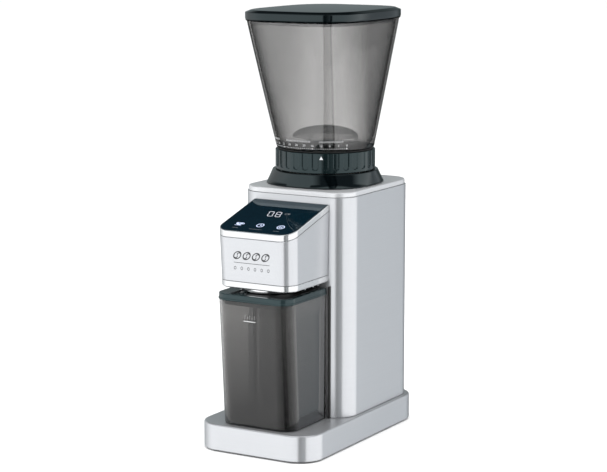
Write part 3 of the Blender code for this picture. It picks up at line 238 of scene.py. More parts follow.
def spun(bm, profile, centre=(0, AXIS_Y, 0), axis=(0, 0, 1), sides=96, closed=True):
    """Spin a profile of (radius, height) points about an axis."""
    turn = Vector((0, 0, 1)).rotation_difference(Vector(axis)).to_matrix().to_4x4()
    place = Matrix.Translation(centre) @ turn
    row = [bm.verts.new(place @ Vector((r, 0, z))) for r, z in profile]
    pairs = list(zip(row, row[1:])) + ([(row[-1], row[0])] if closed else [])
    edges = [bm.edges.new(pair) for pair in pairs]
    bmesh.ops.spin(bm, geom=row + edges, cent=centre, axis=axis, angle=2 * math.pi,
                   steps=sides, use_merge=True)
    bmesh.ops.remove_doubles(bm, verts=bm.verts, dist=WELD)


def turned(name, profile, finish, body, centre=(0, AXIS_Y, 0), axis=(0, 0, 1), closed=True,
           sides=96, **given):
    bm = bmesh.new()
    spun(bm, profile, centre, axis, sides, closed)
    finished(name, bm, finish, body, **given)


def box(bm, low, high, soft=0.0, matrix=None):
    """A block with its edges softened."""
    verts = bmesh.ops.create_cube(bm, size=1)["verts"]
    size, middle = Vector(high) - Vector(low), (Vector(high) + Vector(low)) / 2
    bmesh.ops.scale(bm, vec=size, verts=verts)
    bmesh.ops.translate(bm, vec=middle, verts=verts)
    if soft:
        edges = list({e for v in verts for e in v.link_edges})
        made = bmesh.ops.bevel(bm, geom=edges, offset=soft, offset_type="OFFSET", affect="EDGES",
                               segments=3, profile=0.5, material=-1)
        verts = list({v for f in made["faces"] for v in f.verts})
    if matrix:
        bmesh.ops.transform(bm, matrix=matrix, verts=verts)


# Flat marks are drawn on the plane z = 0 and then laid on a surface.
MARK = 0.06 * mm                # thickness


def bar(bm, start, end, width, matrix):
    """A straight stroke."""
    a, b = Vector(start), Vector(end)
    length = (b - a).length
    turn = Matrix.Rotation(math.atan2(b.y - a.y, b.x - a.x), 4, "Z")
    middle = (a + b) / 2
    box(bm, (-length / 2, -width / 2, 0), (length / 2, width / 2, MARK), 0,
        matrix @ Matrix.Translation((middle.x, middle.y, 0)) @ turn)


def arc_mark(bm, centre, radius, width, start, sweep, matrix, steps=24):
    """Part of a flat ring, or a whole one."""
    whole = abs(sweep) >= 360
    low, high = radius - width / 2, radius + width / 2
    first = math.radians(start)
    corners = [(low, 0), (high, 0), (high, MARK), (low, MARK)]
    verts = [bm.verts.new((centre[0] + r * math.cos(first), centre[1] + r * math.sin(first), z))
             for r, z in corners]
    face = bm.faces.new(verts)
    made = bmesh.ops.spin(bm, geom=[face] if not whole else list(face.edges) + verts,
                          cent=(centre[0], centre[1], 0), axis=(0, 0, 1),
                          angle=math.radians(sweep), steps=steps, use_merge=whole)
    if whole:
        bmesh.ops.delete(bm, geom=[face], context="FACES_ONLY")
    found, grow = set(verts), list(verts)
    while grow:
        for edge in grow.pop().link_edges:
            for vert in edge.verts:
                if vert not in found:
                    found.add(vert)
                    grow.append(vert)
    bmesh.ops.transform(bm, matrix=matrix, verts=list(found))


def dot(bm, centre, radius, matrix, sides=16):
    """A round spot."""
    verts = bmesh.ops.create_cone(bm, cap_ends=True, segments=sides, radius1=radius,
                                  radius2=radius, depth=MARK)["verts"]
    place = matrix @ Matrix.Translation((centre[0], centre[1], MARK / 2))
    bmesh.ops.transform(bm, matrix=place, verts=verts)


def lettering(bm, text, size, matrix):
    """A number laid on a surface."""
    curve = bpy.data.curves.new("number", "FONT")
    curve.body, curve.size = text, size
    curve.align_x, curve.align_y = "CENTER", "BOTTOM_BASELINE"
    curve.extrude = MARK / 2
    drawn = bpy.data.objects.new("number", curve)
    bpy.context.scene.collection.objects.link(drawn)
    bpy.context.view_layer.update()
    flat = bpy.data.meshes.new_from_object(drawn.evaluated_get(
        bpy.context.evaluated_depsgraph_get()))
    bpy.data.objects.remove(drawn)
    bpy.data.curves.remove(curve)
    flat.transform(matrix @ Matrix.Translation((0, 0, MARK / 2)))
    bm.from_mesh(flat)
    bpy.data.meshes.remove(flat)


# ------------------------------------------------------------------ shader nodes
class Socket:
    """A node's output, so that shader maths reads as an expression."""

    def __init__(self, paint, output):
        self.paint, self.output = paint, output

    def maths(self, operation, *others):
        return self.paint.node("ShaderNodeMath", {"operation": operation}, self, *others)

    def __add__(self, other):
        return self.maths("ADD", other)

    def __mul__(self, other):
        return self.maths("MULTIPLY", other)

    def __sub__(self, other):
        return self.maths("SUBTRACT", other)

    def __rsub__(self, other):
        return self * -1 + other

    def __truediv__(self, other):
        return self.maths("DIVIDE", other)

    def __pow__(self, other):
        return self.maths("POWER", other)

    __radd__, __rmul__ = __add__, __mul__


class Paint:
    """A node tree with one way of adding a node."""

    def __init__(self, tree):
        self.tree = tree

    def feed(self, socket, value):
        if isinstance(value, Socket):
            self.tree.links.new(value.output, socket)
        else:
            socket.default_value = value

    def node(self, kind, settings, *values, output=0, **named):
        made = self.tree.nodes.new(kind)
        for key, value in settings.items():
            if key == "stops":
                ramp = made.color_ramp
                for _ in value[2:]:
                    ramp.elements.new(0.5)
                for element, (place, colour) in zip(ramp.elements, value):
                    element.position, element.color = place, colour
            else:
                setattr(made, key, value)
        for socket, value in zip(made.inputs, values):
            self.feed(socket, value)
        for key, value in named.items():
            self.feed(made.inputs[key.replace("_", " ")], value)
        return Socket(self, made.outputs[output]) if made.outputs else None

    def ramp(self, factor, stops):
        return self.node("ShaderNodeValToRGB", {"stops": [
            (place, (*colour, 1)) for place, colour in stops]}, factor)

    def mix(self, factor, first, second, way="MIX"):
        made = self.tree.nodes.new("ShaderNodeMix")
        made.data_type, made.blend_type = "RGBA", way
        for index, value in ((0, factor), (6, first), (7, second)):
            if isinstance(value, tuple) and len(value) == 3:
                value = (*value, 1)
            self.feed(made.inputs[index], value)
        return Socket(self, made.outputs[2])


BUMP_DEPTH = 0.0002


class Finish(Paint):
    """A material: fixed sockets are set by name, and patterns are linked afterwards."""

    def __init__(self, name, **fixed):
        self.material = bpy.data.materials.new(name)
        self.material.use_nodes = True
        super().__init__(self.material.node_tree)
        self.shader = self.tree.nodes["Principled BSDF"]
        self.put(**fixed)

    def put(self, **values):
        for key, value in values.items():
            if isinstance(value, tuple) and len(value) == 3:
                value = (*value, 1)
            self.feed(self.shader.inputs[key.replace("_", " ")], value)

    def stretched(self, scale):
        """Object coordinates, more of them to the metre along each axis."""
        place = self.node("ShaderNodeTexCoord", {}, output=3)
        return self.node("ShaderNodeMapping", {}, place, Scale=scale)

    def noise(self, scale, detail):
        return self.node("ShaderNodeTexNoise", {}, Vector=self.stretched(scale), Scale=1.0,
                         Detail=detail)

    def bump(self, height, strength):
        self.put(Normal=self.node("ShaderNodeBump", {}, Height=height, Strength=strength,
                                  Distance=BUMP_DEPTH))


def scaled(tone, factor):
    return tuple(min(1.0, c * factor) for c in tone)


def brushed(name, tone, roughness, grain=0.5, metal=0.72):
    """Steel with fine lines round its sides, and front to back on its flats."""
    f = Finish(name, Metallic=metal, Anisotropic=0.7, Anisotropic_Rotation=0.25)
    facing = f.node("ShaderNodeSeparateXYZ", {}, f.node("ShaderNodeNewGeometry", {}, output=1),
                    output=2).maths("ABSOLUTE")
    flat = (facing - 0.6).maths("GREATER_THAN", 0.0)
    lines = f.noise((6, 6, 2600), 4) * (1 - flat) + f.noise((2600, 9, 9), 4) * flat
    cloud = f.noise((14, 14, 14), 2)
    shade = (lines - 0.5) * grain + (cloud - 0.5) * 0.12 + 0.5
    f.put(Base_Color=f.mix(shade, scaled(tone, 0.9), scaled(tone, 1.08)),
          Roughness=shade * -0.08 + (roughness + 0.04))
    f.bump(lines, 0.05)
    return f.material


def moulded(name, tone, roughness, grain=0.0, **fixed):
    """A smooth finish with a faint unevenness, and a fine texture if it has grain."""
    f = Finish(name, **fixed)
    cloud = f.noise((55, 55, 55), 3)
    f.put(Base_Color=f.mix(cloud, scaled(tone, 0.85), scaled(tone, 1.15)),
          Roughness=(cloud - 0.5) * 0.08 + roughness)
    if grain:
        f.bump(f.noise((2400, 2400, 2400), 2), grain)
    return f.material


def machined(name, tone, roughness, rings=900):
    """Turned or ground metal."""
    f = Finish(name, Metallic=1.0)
    lines = f.noise((30, 30, rings), 3)
    f.put(Base_Color=f.mix(lines, scaled(tone, 0.8), scaled(tone, 1.15)),
          Roughness=(lines - 0.5) * 0.15 + roughness)
    f.bump(lines, 0.1)
    return f.material


def smoked(name, tone, roughness, edge=1.5, shade_heights=None, shade_strength=0.55, clear=1.0,
           coat=(1.0, -1.5)):
    """Tinted clear plastic, darker where it is seen edge on and, between two heights, lower down;
    the darkening lower down is painted shade.

    edge and shade_strength are the strengths of the two, and coat is the gloss seen square on,
    with its change toward edge on.
    change toward edge on.
    """
    f = Finish(name, Transmission_Weight=clear, IOR=1.04, Coat_IOR=1.8, Coat_Roughness=0.02)
    cloud = f.noise((22, 22, 9), 2)
    facing = f.node("ShaderNodeLayerWeight", {}, 0.5, output=1)
    depth = facing ** 1.35 * edge + (cloud - 0.5) * 0.06
    # painted shade: between the two heights the colour darkens toward the lower one
    if shade_heights:
        low, high = shade_heights
        height = f.node("ShaderNodeSeparateXYZ", {}, f.stretched((1, 1, 1)), output=2)
        lower_shade = ((height * -1 + high) / (high - low)).maths("MINIMUM", 1.0).maths("MAXIMUM", 0.0)
        depth = depth + lower_shade * shade_strength
    # depth holds the edge-on darkening and the painted shade lower down
    f.put(Base_Color=f.mix(depth.maths("MINIMUM", 1.0), tone, scaled(tone, 0.12)),
          Roughness=cloud * 0.02 + roughness,
          Coat_Weight=(facing * coat[1] + coat[0]).maths("MAXIMUM", 0.0).maths("MINIMUM", 1.0))
    return f.material


def printed(name, tone, glow=0.0):
    """Printed or lit marks; a glow on a printed mark, which is no lamp, is painted light."""
    f = Finish(name, Emission_Color=(*tone, 1), Emission_Strength=glow)
    cloud = f.noise((900, 900, 900), 2)
    f.put(Base_Color=f.mix(cloud, scaled(tone, 0.92), tone), Roughness=0.5)
    return f.material


TEAL = dict(IOR=1.48, Specular_Tint=(0.74, 0.94, 0.98, 1.0))
STEEL = brushed("brushed_steel", (0.545, 0.556, 0.575), 0.3, grain=0.4)
PLATE = brushed("plate_steel", (0.66, 0.67, 0.685), 0.36, metal=0.5)
TRIM = brushed("trim_steel", (0.66, 0.668, 0.675), 0.2, grain=0.3, metal=0.85)
# the hopper darkens toward its foot between these heights: painted shade of the dark neck and
# burrs inside
SMOKE = smoked("smoke_plastic", (0.57, 0.565, 0.56), 0.02, shade_heights=(258 * mm, 268 * mm))
GUARD = smoked("smoke_plastic_guard", (0.38, 0.378, 0.375), 0.05, edge=0.5)
POLISHED = moulded("polished_steel", (0.78, 0.79, 0.80), 0.08, Metallic=1.0)
# the container darkens toward its bottom between these heights: painted shade
SMOKE_DARK = smoked("smoke_plastic_container", (0.37, 0.366, 0.36), 0.02,
                    edge=0.35, shade_heights=(10 * mm, 135 * mm), shade_strength=0.9, clear=0.96,
                    coat=(0.12, 1.6))
SLATE = moulded("black_gloss_plastic", (0.001, 0.002, 0.0025), 0.05, **TEAL)
RING_BLACK = moulded("grind_ring_plastic", (0.004, 0.009, 0.010), 0.10, **TEAL)
LID_BLACK = moulded("container_lid_plastic", (0.012, 0.022, 0.024), 0.12, **TEAL)
BLACK = moulded("black_plastic", (0.012, 0.013, 0.014), 0.45, grain=0.15)
GLASS = moulded("panel_glass", (0.0012, 0.009, 0.016), 0.03, IOR=1.7,
                Specular_Tint=(0.62, 0.93, 1.0, 1.0))
RUBBER = moulded("rubber", (0.015, 0.015, 0.015), 0.8, grain=0.2)
SILICONE = moulded("silicone", (0.30, 0.31, 0.32), 0.55, grain=0.1)
NYLON = moulded("nylon", (0.72, 0.70, 0.65), 0.45, grain=0.08)
ZINC = machined("zinc_plate", (0.52, 0.54, 0.57), 0.38, 60)
BURR_STEEL = machined("hardened_steel", (0.36, 0.36, 0.37), 0.3)
GROUND = machined("ground_steel", (0.62, 0.63, 0.64), 0.18, 1800)
BRASS = machined("brass", (0.72, 0.52, 0.22), 0.28)
BRONZE = machined("sintered_bronze", (0.42, 0.27, 0.13), 0.5, 200)
BOARD = moulded("circuit_board", (0.01, 0.09, 0.035), 0.35, grain=0.3)
# the white print glows a little: painted light, as the print is no lamp
GLOWING_PRINT = printed("white_print_painted_glow", (0.74, 0.75, 0.76), 0.1)
GREY_PRINT = printed("grey_print", (0.16, 0.17, 0.18))
DARK_PRINT = printed("dark_print", (0.03, 0.032, 0.035))
LIT = printed("lit_display", (0.72, 0.72, 0.78), 0.35)
TOUCH_LIT = printed("lit_touch_key", (0.56, 0.64, 0.86), 0.25)


# ------------------------------------------------------------------ nodes shown as they are
NODE_FINISH = (
    (NYLON, ("intermediate_wheel", "output_gear", "burr_carrier", "sweep_disc")),
    (ZINC, ("inner_frame", "gearbox_bottom_plate", "gearbox_top_plate", "motor_can",
            "cover_screw")),
    (BURR_STEEL, ("cone_burr", "ring_burr", "intermediate_pinion", "intermediate_axle",
                  "motor_armature")),
    (GROUND, ("drive_shaft", "burr_nut", "motor_shaft")),
    (BRASS, ("motor_pinion",)),
    (BRONZE, ("lower_bearing", "upper_bearing")),
    (BOARD, ("control_board", "power_board")),
    (SILICONE, ("lid_seal", "touch_pad", "display_module")),
    (RUBBER, ("vibration_pad", "foot")),
)
for name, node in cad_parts.items():
    node.data.materials.clear()
    node.data.materials.append(next((finish for finish, starts in NODE_FINISH
                                     if name.startswith(starts)), BLACK))


# ------------------------------------------------------------------ base and tower
def make_base():
    def outline(inset):
        return rounded(BASE_HALF - inset, BASE_FRONT + inset, DEPTH_HALF - inset,
                       BASE_CORNER - inset, steps=16)

    foot = 1.5 * mm
    row = eased([(BASE_WALL, 20 * mm, 0), (BASE_WALL, foot, 0), (0.25 * mm, foot, 0.2 * mm),
                 (0, 2.4 * mm, 0.3 * mm), (0, BASE_TOP, 2.0 * mm), (6 * mm, BASE_TOP, 0)], 5)
    lofted("base", [at(outline(a), z) for a, z in row], STEEL, "chassis",
           slot="brushed_steel", replaces=["base_shell"])


def make_tower():
    def outline(inset):
        return rounded(TOWER_HALF - inset, TOWER_FRONT + inset, TOWER_REAR - inset,
                       TOWER_CORNER - inset, steps=16)

    low = BASE_TOP + SEAM
    row = eased([(TOWER_WALL, low, 0), (0, low, 0.2 * mm), (0, TOWER_TOP, 0.35 * mm),
                 (TOWER_WALL, TOWER_TOP, 0)], 3)
    lofted("tower", [at(outline(a), z) for a, z in row], STEEL, "chassis", joined=True,
           slot="brushed_steel", replaces=["tower_shell"])
    plate_low, setback = TOWER_TOP + SEAM, 1.0 * mm
    row = eased([(setback, plate_low, 0), (setback, PLATE_TOP, 1.5 * mm),
                 (5 * mm, PLATE_TOP, 0)], 5)
    middle = Vector((0, AXIS_Y))
    hole = [middle + (p - middle).normalized() * PLATE_HOLE for p in outline(0)]
    rows = [at(hole, plate_low)] + [at(outline(a), z) for a, z in row] + [at(hole, PLATE_TOP)]
    lofted("top_plate", rows, PLATE, "chassis", joined=True, slot="brushed_steel",
           replaces=["tower_top_plate"])


def make_collar():
    foot, seat = PLATE_TOP + SEAM, RING_BOTTOM - 3 * mm
    bore, rim = circle(COLLAR_BORE), circle(COLLAR_RIM)
    square = oval(COLLAR_FOOT, COLLAR_FOOT, COLLAR_SQUARENESS)
    middle = Vector((0, AXIS_Y))

    def section(share, inset, z):
        """Part of the way from the squarish foot to the round top."""
        return [Vector((*p.lerp(q, share), z)) - (p - middle).normalized().to_3d() * inset
                for p, q in zip(square, rim)]

    slope = foot + 1.2 * mm
    rise = COLLAR_TOP - 0.6 * mm - slope
    rows = [at(bore, foot), section(0, 0.4 * mm, foot), section(0, 0, foot + 0.35 * mm),
            section(0, 0, foot + 0.9 * mm), section(0, 0.35 * mm, slope)]
    for share in (0.25, 0.5, 0.75, 0.94):
        rows.append(section(share, 0.35 * mm * (1 - share), slope + rise * share))
    rows += [section(1, 0, COLLAR_TOP - 0.6 * mm), section(1, 0.1 * mm, COLLAR_TOP - 0.3 * mm),
             section(1, 0.35 * mm, COLLAR_TOP - 0.08 * mm), section(1, 0.7 * mm, COLLAR_TOP),
             section(1, 3 * mm, COLLAR_TOP), section(1, 3 * mm, seat), at(bore, seat)]
    lofted("collar", rows, SLATE, "chassis", joined=True, slot="black_gloss_plastic",
           replaces=["collar"])


# ------------------------------------------------------------------ grind ring
def flute_depth(angle, z):
    """How far into a flute a point on the ring lies, from 0 to 1."""
    pitch = 2 * math.pi / FLUTES
    middle = -math.pi / 2 + pitch / 2
    away = (angle - middle + pitch / 2) % pitch - pitch / 2
    across = abs(away) * RING_RADIUS
    centre = RING_FLANGE + FLUTE_HALF_WIDTH
    reach = math.hypot(across, min(0.0, z - centre)) - FLUTE_HALF_WIDTH
    t = max(0.0, min(1.0, 0.5 - reach / FLUTE_SOFTNESS))
    return t * t * (3 - 2 * t)


def make_grind_ring():
    columns = FLUTES * 22
    foot_edge, top_edge = 0.35 * mm, 0.6 * mm

    def fluted(inset, z):
        outline = []
        for i in range(columns):
            angle = 2 * math.pi * i / columns
            radius = RING_RADIUS - inset - FLUTE_DEPTH * flute_depth(angle, z)
            outline.append(Vector((radius * math.cos(angle), AXIS_Y + radius * math.sin(angle),
                                   z)))
        return outline

    def plain(radius, z):
        return at(circle(radius, columns), z)

    heights = [RING_BOTTOM + 0.25 * mm * i for i in range(3)]
    heights += [RING_BOTTOM + 2.4 * mm + 0.22 * mm * i for i in range(20)]
    heights += [RING_TOP - 4 * mm, RING_TOP - 1.2 * mm]
    outlines = [plain(RING_THROAT, RING_BOTTOM)]
    for z in heights:
        share = max(0.0, 1 - (z - RING_BOTTOM) / (0.5 * mm))
        outlines.append(fluted(foot_edge * share ** 2, z))
    for step in range(1, 5):
        turn = math.radians(90 * step / 4)
        outlines.append(fluted(top_edge * (1 - math.cos(turn)),
                               RING_TOP - top_edge * (1 - math.sin(turn))))
    outlines += [plain(RING_BORE, RING_TOP), plain(RING_BORE, RING_FLANGE),
                 plain(RING_THROAT, RING_FLANGE)]
    lofted("grind_ring_dial", outlines, RING_BLACK, "grind_ring", joined=True,
           slot="black_gloss_plastic", replaces=["grind_ring"])
    bm = bmesh.new()
    angle, size = math.radians(MARKER_ANGLE), 1.95 * mm
    out = Vector((math.cos(angle), math.sin(angle), 0))
    place = upright(Vector((0, AXIS_Y, 256.3 * mm)) + out * (RING_RADIUS + 0.02 * mm), angle)
    tip = bmesh.ops.create_cone(bm, cap_ends=True, segments=3, radius1=size, radius2=size,
                                depth=MARK)["verts"]
    bmesh.ops.transform(bm, matrix=place @ Matrix.Translation((0, 1.2 * mm, MARK / 2)),
                        verts=tip)
    finished("ring_marker", bm, GLOWING_PRINT, "grind_ring")


def upright(place, angle, lean=0.0):
    """Marks drawn on z = 0 stand up facing outwards at this angle round the axis."""
    return (Matrix.Translation(place) @ Matrix.Rotation(angle + math.pi / 2, 4, "Z")
            @ Matrix.Rotation(math.pi / 2 - lean, 4, "X"))


# ------------------------------------------------------------------ hopper
def hopper_shape(z):
    """Half widths, squareness and shift of the hopper's outline at a height."""
    share = max(0.0, min(1.0, (z - HOPPER_FOOT) / (HOPPER_TOP - HOPPER_FOOT)))
    return (HOPPER_RADIUS + (HOPPER_HALF_X - HOPPER_RADIUS) * share,
            HOPPER_RADIUS + (HOPPER_HALF_Y - HOPPER_RADIUS) * share,
            2 + (MOUTH_SQUARENESS - 2) * share, MOUTH_SHIFT * share)


def hopper_at(z, inset=0.0):
    half_x, half_y, squareness, shift = hopper_shape(z)
    return at(oval(half_x - inset, half_y - inset, squareness, AXIS_Y - shift), z)


def make_hopper():
    def level(base, less, i):
        rise = HOPPER_TOP - HOPPER_FOOT - less * mm
        return HOPPER_FOOT + base * mm + rise * i / (levels - 1)

    levels, wall = 26, HOPPER_WALL
    outer = [at(circle(NECK_RADIUS), NECK_BOTTOM), at(circle(NECK_RADIUS), HOPPER_FOOT),
             at(circle(43.2 * mm), HOPPER_FOOT)]
    outer += [hopper_at(HOPPER_FOOT + lift * mm, drop * mm)
              for drop, lift in ((0.6, 0.15), (0.18, 0.6), (0.0, 1.4))]
    outer += [hopper_at(level(3, 4, i)) for i in range(levels)]
    top = [hopper_at(HOPPER_TOP - 0.3 * mm, 0.1 * mm), hopper_at(HOPPER_TOP, 0.4 * mm),
           hopper_at(HOPPER_TOP, wall - 0.4 * mm),
           hopper_at(HOPPER_TOP - 0.3 * mm, wall - 0.1 * mm)]
    inner = [hopper_at(level(6.5, 7.5, i), wall) for i in reversed(range(levels))]
    floor = [hopper_at(HOPPER_FOOT + 4.6 * mm, wall + 0.5 * mm),
             hopper_at(HOPPER_FOOT + 3.2 * mm, wall + 1.9 * mm),
             at(circle(NECK_BORE + 0.6 * mm), HOPPER_FOOT - 4.4 * mm),
             at(circle(NECK_BORE), HOPPER_FOOT - 5.2 * mm), at(circle(NECK_BORE), NECK_BOTTOM)]
    lofted("hopper_shell", outer + top + inner + floor, SMOKE, "bean_hopper", joined=True,
           slot="smoke_plastic", replaces=["hopper"])
    turned("hopper_foot_seal", [(37.9 * mm, 262.4 * mm), (43.9 * mm, 262.4 * mm),
                                (44.1 * mm, 262.85 * mm), (43.9 * mm, 263.3 * mm),
                                (37.9 * mm, 263.3 * mm)], RUBBER, "bean_hopper",
           slot="rubber", replaces=["hopper_seal"])


def make_guard():
    """The domed finger guard and its three legs, inside the hopper."""
    def dome(inset, degrees):
        turn = math.radians(degrees)
        return ((GUARD_RADIUS - inset) * math.sin(turn),
                GUARD_FOOT + (GUARD_RISE - inset) * math.cos(turn))

    bm = bmesh.new()
    outside = [dome(0, a) for a in range(0, 91, 9)]
    inside = [dome(GUARD_WALL, a) for a in range(90, -1, -9)]
    inside[-1] = (0, inside[-1][1])
    spun(bm, outside + inside, closed=False)
    for turn in (30, 150, 270):
        matrix = (Matrix.Translation((0, AXIS_Y, 0))
                  @ Matrix.Rotation(math.radians(turn), 4, "Z"))
        box(bm, (26.4 * mm, -3 * mm, 253.8 * mm), (29.9 * mm, 3 * mm, GUARD_FOOT + 0.5 * mm),
            0.4 * mm, matrix)
    finished("guard_dome", bm, GUARD, "bean_hopper", slot="smoke_plastic",
             replaces=["bean_guard"])


def make_hopper_lid():
    def section(inset, z):
        return at(oval(LID_HALF_X - inset, LID_HALF_Y - inset, MOUTH_SQUARENESS,
                       AXIS_Y - MOUTH_SHIFT), z)

    def plug(gap, z):
        return at(hopper_at(plug_low, HOPPER_WALL + gap), z)

    plug_low, inside, outside = LID_BOTTOM - PLUG, 4.6 * mm, 2.6 * mm
    skirt = eased([(0.2 * mm, LID_BOTTOM, 0), (0.9 * mm, LID_BOTTOM, 0),
                   (0, LID_BOTTOM + 1.5 * mm, 0.6 * mm), (0, LID_TOP - 2.2 * mm, 0.5 * mm),
                   (4.6 * mm, LID_TOP - 0.15 * mm, 0.6 * mm), (9 * mm, LID_TOP, 0)], 4)
    rows = [plug(inside, 384 * mm), plug(inside, plug_low), plug(outside, plug_low),
            plug(outside, LID_BOTTOM)]
    rows += [section(a, z) for a, z in skirt]
    lofted("lid_cover", rows, SLATE, "hopper_lid", slot="black_gloss_plastic",
           replaces=["hopper_lid"])


def make_scale():
    """Dots, numbers and range bands for the grind setting, round the hopper's foot."""
    bm = bmesh.new()
    lean = math.radians(8)

    def spot(setting, z):
        half_x, half_y, squareness, shift = hopper_shape(z)
        wall = on_oval(half_x, half_y, squareness, -shift,
                       math.radians(FIRST_SETTING - SETTING_TURN * setting))
        x, y = wall * (1 + 0.05 * mm / wall.length)
        return upright(Vector((x, AXIS_Y + y, z)), math.atan2(y, x), -lean)

    for setting in range(SETTINGS + 1):
        size = 0.6 if setting % 16 == 0 else 0.32
        dot(bm, (0, 0), size * mm, spot(setting, 266.2 * mm), 12)
    for setting in range(0, SETTINGS + 1, 4):
        lettering(bm, str(setting), 2.9 * mm, spot(setting, 268.2 * mm))
    for first, last in ((2, 13), (17, 30), (35, 46)):
        for half in range(first * 2, last * 2):
            bar(bm, (0, -0.9 * mm), (0.4 * mm, 0.9 * mm), 0.2 * mm, spot(half / 2, 272.8 * mm))
    finished("grind_scale", bm, GLOWING_PRINT, "bean_hopper")


# ------------------------------------------------------------------ head
def head_at(share, inset=0.0):
    """The head's outline from its foot, share 0, to the control panel, share 1."""
    half = 38.0 * mm + 0.8 * mm * share
    front = HEAD_FRONT_BOTTOM + (HEAD_FRONT_TOP - HEAD_FRONT_BOTTOM) * share
    return rounded(half - inset, front + inset, HEAD_REAR - inset,
                   max(HEAD_CORNER - inset, 1 * mm), 0.6 * mm)


def make_head():
    def slopes(*pairs):
        return [sloped(head_at(1, inset * mm), front) for inset, front in pairs]

    low, high, edge = 156.35 * mm, 195.25 * mm, 0.25 * mm
    rows = [at(head_at(0, HEAD_WALL), low), at(head_at(0, edge), low),
            at(head_at(0), low + edge), at(head_at(0.004), low + 2 * edge)]
    rows += slopes((0, high - 2 * edge), (0, high - edge), (0.25, high), (1.5, high))
    lofted("head_shell", rows, STEEL, "chassis", joined=True, slot="brushed_steel",
           replaces=["head_housing"])
    frame_low, rim_top, seat = high + SEAM, GLASS_FRONT - 0.15 * mm, GLASS_FRONT - 2.3 * mm
    rows = slopes((5, frame_low), (0.25, frame_low), (0, frame_low + 0.25 * mm),
                  (0, frame_low + 0.5 * mm), (0, rim_top - 0.9 * mm), (0, rim_top - 0.6 * mm),
                  (0.15, rim_top - 0.2 * mm), (0.4, rim_top), (0.6, rim_top), (0.7, seat),
                  (5, seat))
    lofted("panel_surround", rows, TRIM, "chassis", joined=True, slot="trim_steel",
           replaces=["head_top_trim"])
    rows = slopes((0.8, GLASS_FRONT - 2 * mm), (0.8, GLASS_FRONT - 0.35 * mm),
                  (0.9, GLASS_FRONT - 0.1 * mm), (1.15, GLASS_FRONT), (1.6, GLASS_FRONT))
    lofted("control_panel", rows, GLASS, "chassis", slot="panel_glass",
           replaces=["control_glass"])
    seam, opening = low - SEAM, 3.5 * mm
    row = eased([(opening, HEAD_BOTTOM + 0.6 * mm, 0), (1.6 * mm, HEAD_BOTTOM, 0.3 * mm),
                 (0, HEAD_BOTTOM + 0.9 * mm, 0.8 * mm), (0, seam, 0.25 * mm),
                 (opening, seam, 0)], 4)
    lofted("head_lower_band", [at(head_at(0, a), z) for a, z in row], TRIM, "chassis",
           joined=True, slot="trim_steel", replaces=["head_bottom_trim"])


MARK_LIFT = 0.03 * mm
SEGMENTS = {"0": "abcdef", "8": "abcdefg"}


def panel(x, y):
    """Marks lie on the control panel, their top towards the tower."""
    return Matrix.Translation((x, y, panel_z(y) + MARK_LIFT)) @ Matrix.Rotation(SLOPE, 4, "X")


def make_digits():
    bm = bmesh.new()
    width, height, stroke, gap = 4.7 * mm, 9.6 * mm, 0.5 * mm, 0.15 * mm
    lean = Matrix.Identity(4)
    lean[0][1] = -0.25
    x, y = width / 2, height / 2
    lines = {"a": ((-x, y), (x, y)), "b": ((x, y), (x, 0)), "c": ((x, 0), (x, -y)),
             "d": ((-x, -y), (x, -y)), "e": ((-x, 0), (-x, -y)), "f": ((-x, y), (-x, 0)),
             "g": ((-x, 0), (x, 0))}
    for digit, shift in (("0", -4.3 * mm), ("8", 3.5 * mm)):
        place = panel(shift, DISPLAY_Y) @ lean
        for name in SEGMENTS[digit]:
            start, end = (Vector(p) for p in lines[name])
            trim = (end - start).normalized() * (gap + stroke / 2)
            bar(bm, start + trim, end - trim, stroke, place)
    finished("display_digits", bm, LIT, "chassis", slot="display")


TOUCH_KEYS = ((-21.5 * mm, 2.8 * mm), (-0.6 * mm, 6.5 * mm), (20.3 * mm, 2.8 * mm))


def make_panel_print():
    """A pill beside the figures, and a dash under each touch key."""
    bm = bmesh.new()
    place = panel(11.4 * mm, DISPLAY_Y + 2.4 * mm)
    half, radius, stroke = 1.2 * mm, 1.4 * mm, 0.35 * mm
    for side in (-1, 1):
        arc_mark(bm, (side * half, 0), radius, stroke, -90 * side, 180, place, 10)
        bar(bm, (-half, side * radius), (half, side * radius), stroke, place)
    dot(bm, (half, 0), 0.7 * mm, place)
    for x, wide in TOUCH_KEYS:
        bar(bm, (-wide, 0), (wide, 0), stroke, panel(x, TOUCH_Y - 8.3 * mm))
    finished("panel_print", bm, GREY_PRINT, "chassis")


def make_touch_icons():
    bm = bmesh.new()
    left, middle, right = (panel(x, TOUCH_Y) for x, _ in TOUCH_KEYS)
    # cup
    arc_mark(bm, (-0.4 * mm, 0.8 * mm), 2.3 * mm, 2.2 * mm, 180, 180, left, 16)
    bar(bm, (-3.8 * mm, 1.6 * mm), (3.0 * mm, 1.6 * mm), 0.7 * mm, left)
    arc_mark(bm, (3.0 * mm, 0.2 * mm), 1.2 * mm, 0.5 * mm, -90, 200, left, 12)
    bar(bm, (-3.6 * mm, -3.4 * mm), (2.8 * mm, -3.4 * mm), 0.6 * mm, left)
    # timer
    arc_mark(bm, (0, 0), 3.3 * mm, 0.8 * mm, 0, 360, middle)
    bar(bm, (0, -0.3 * mm), (0, 2.1 * mm), 0.7 * mm, middle)
    bar(bm, (0.2 * mm, -0.1 * mm), (1.7 * mm, -0.1 * mm), 0.7 * mm, middle)
    # start and stop
    arc_mark(bm, (0, 0), 3.3 * mm, 0.8 * mm, 0, 360, right)
    bar(bm, (-1.0 * mm, -1.5 * mm), (-1.0 * mm, 1.5 * mm), 0.8 * mm, right)
    bar(bm, (0.9 * mm, -1.5 * mm), (0.9 * mm, 1.5 * mm), 0.8 * mm, right)
    finished("touch_icons", bm, TOUCH_LIT, "chassis")


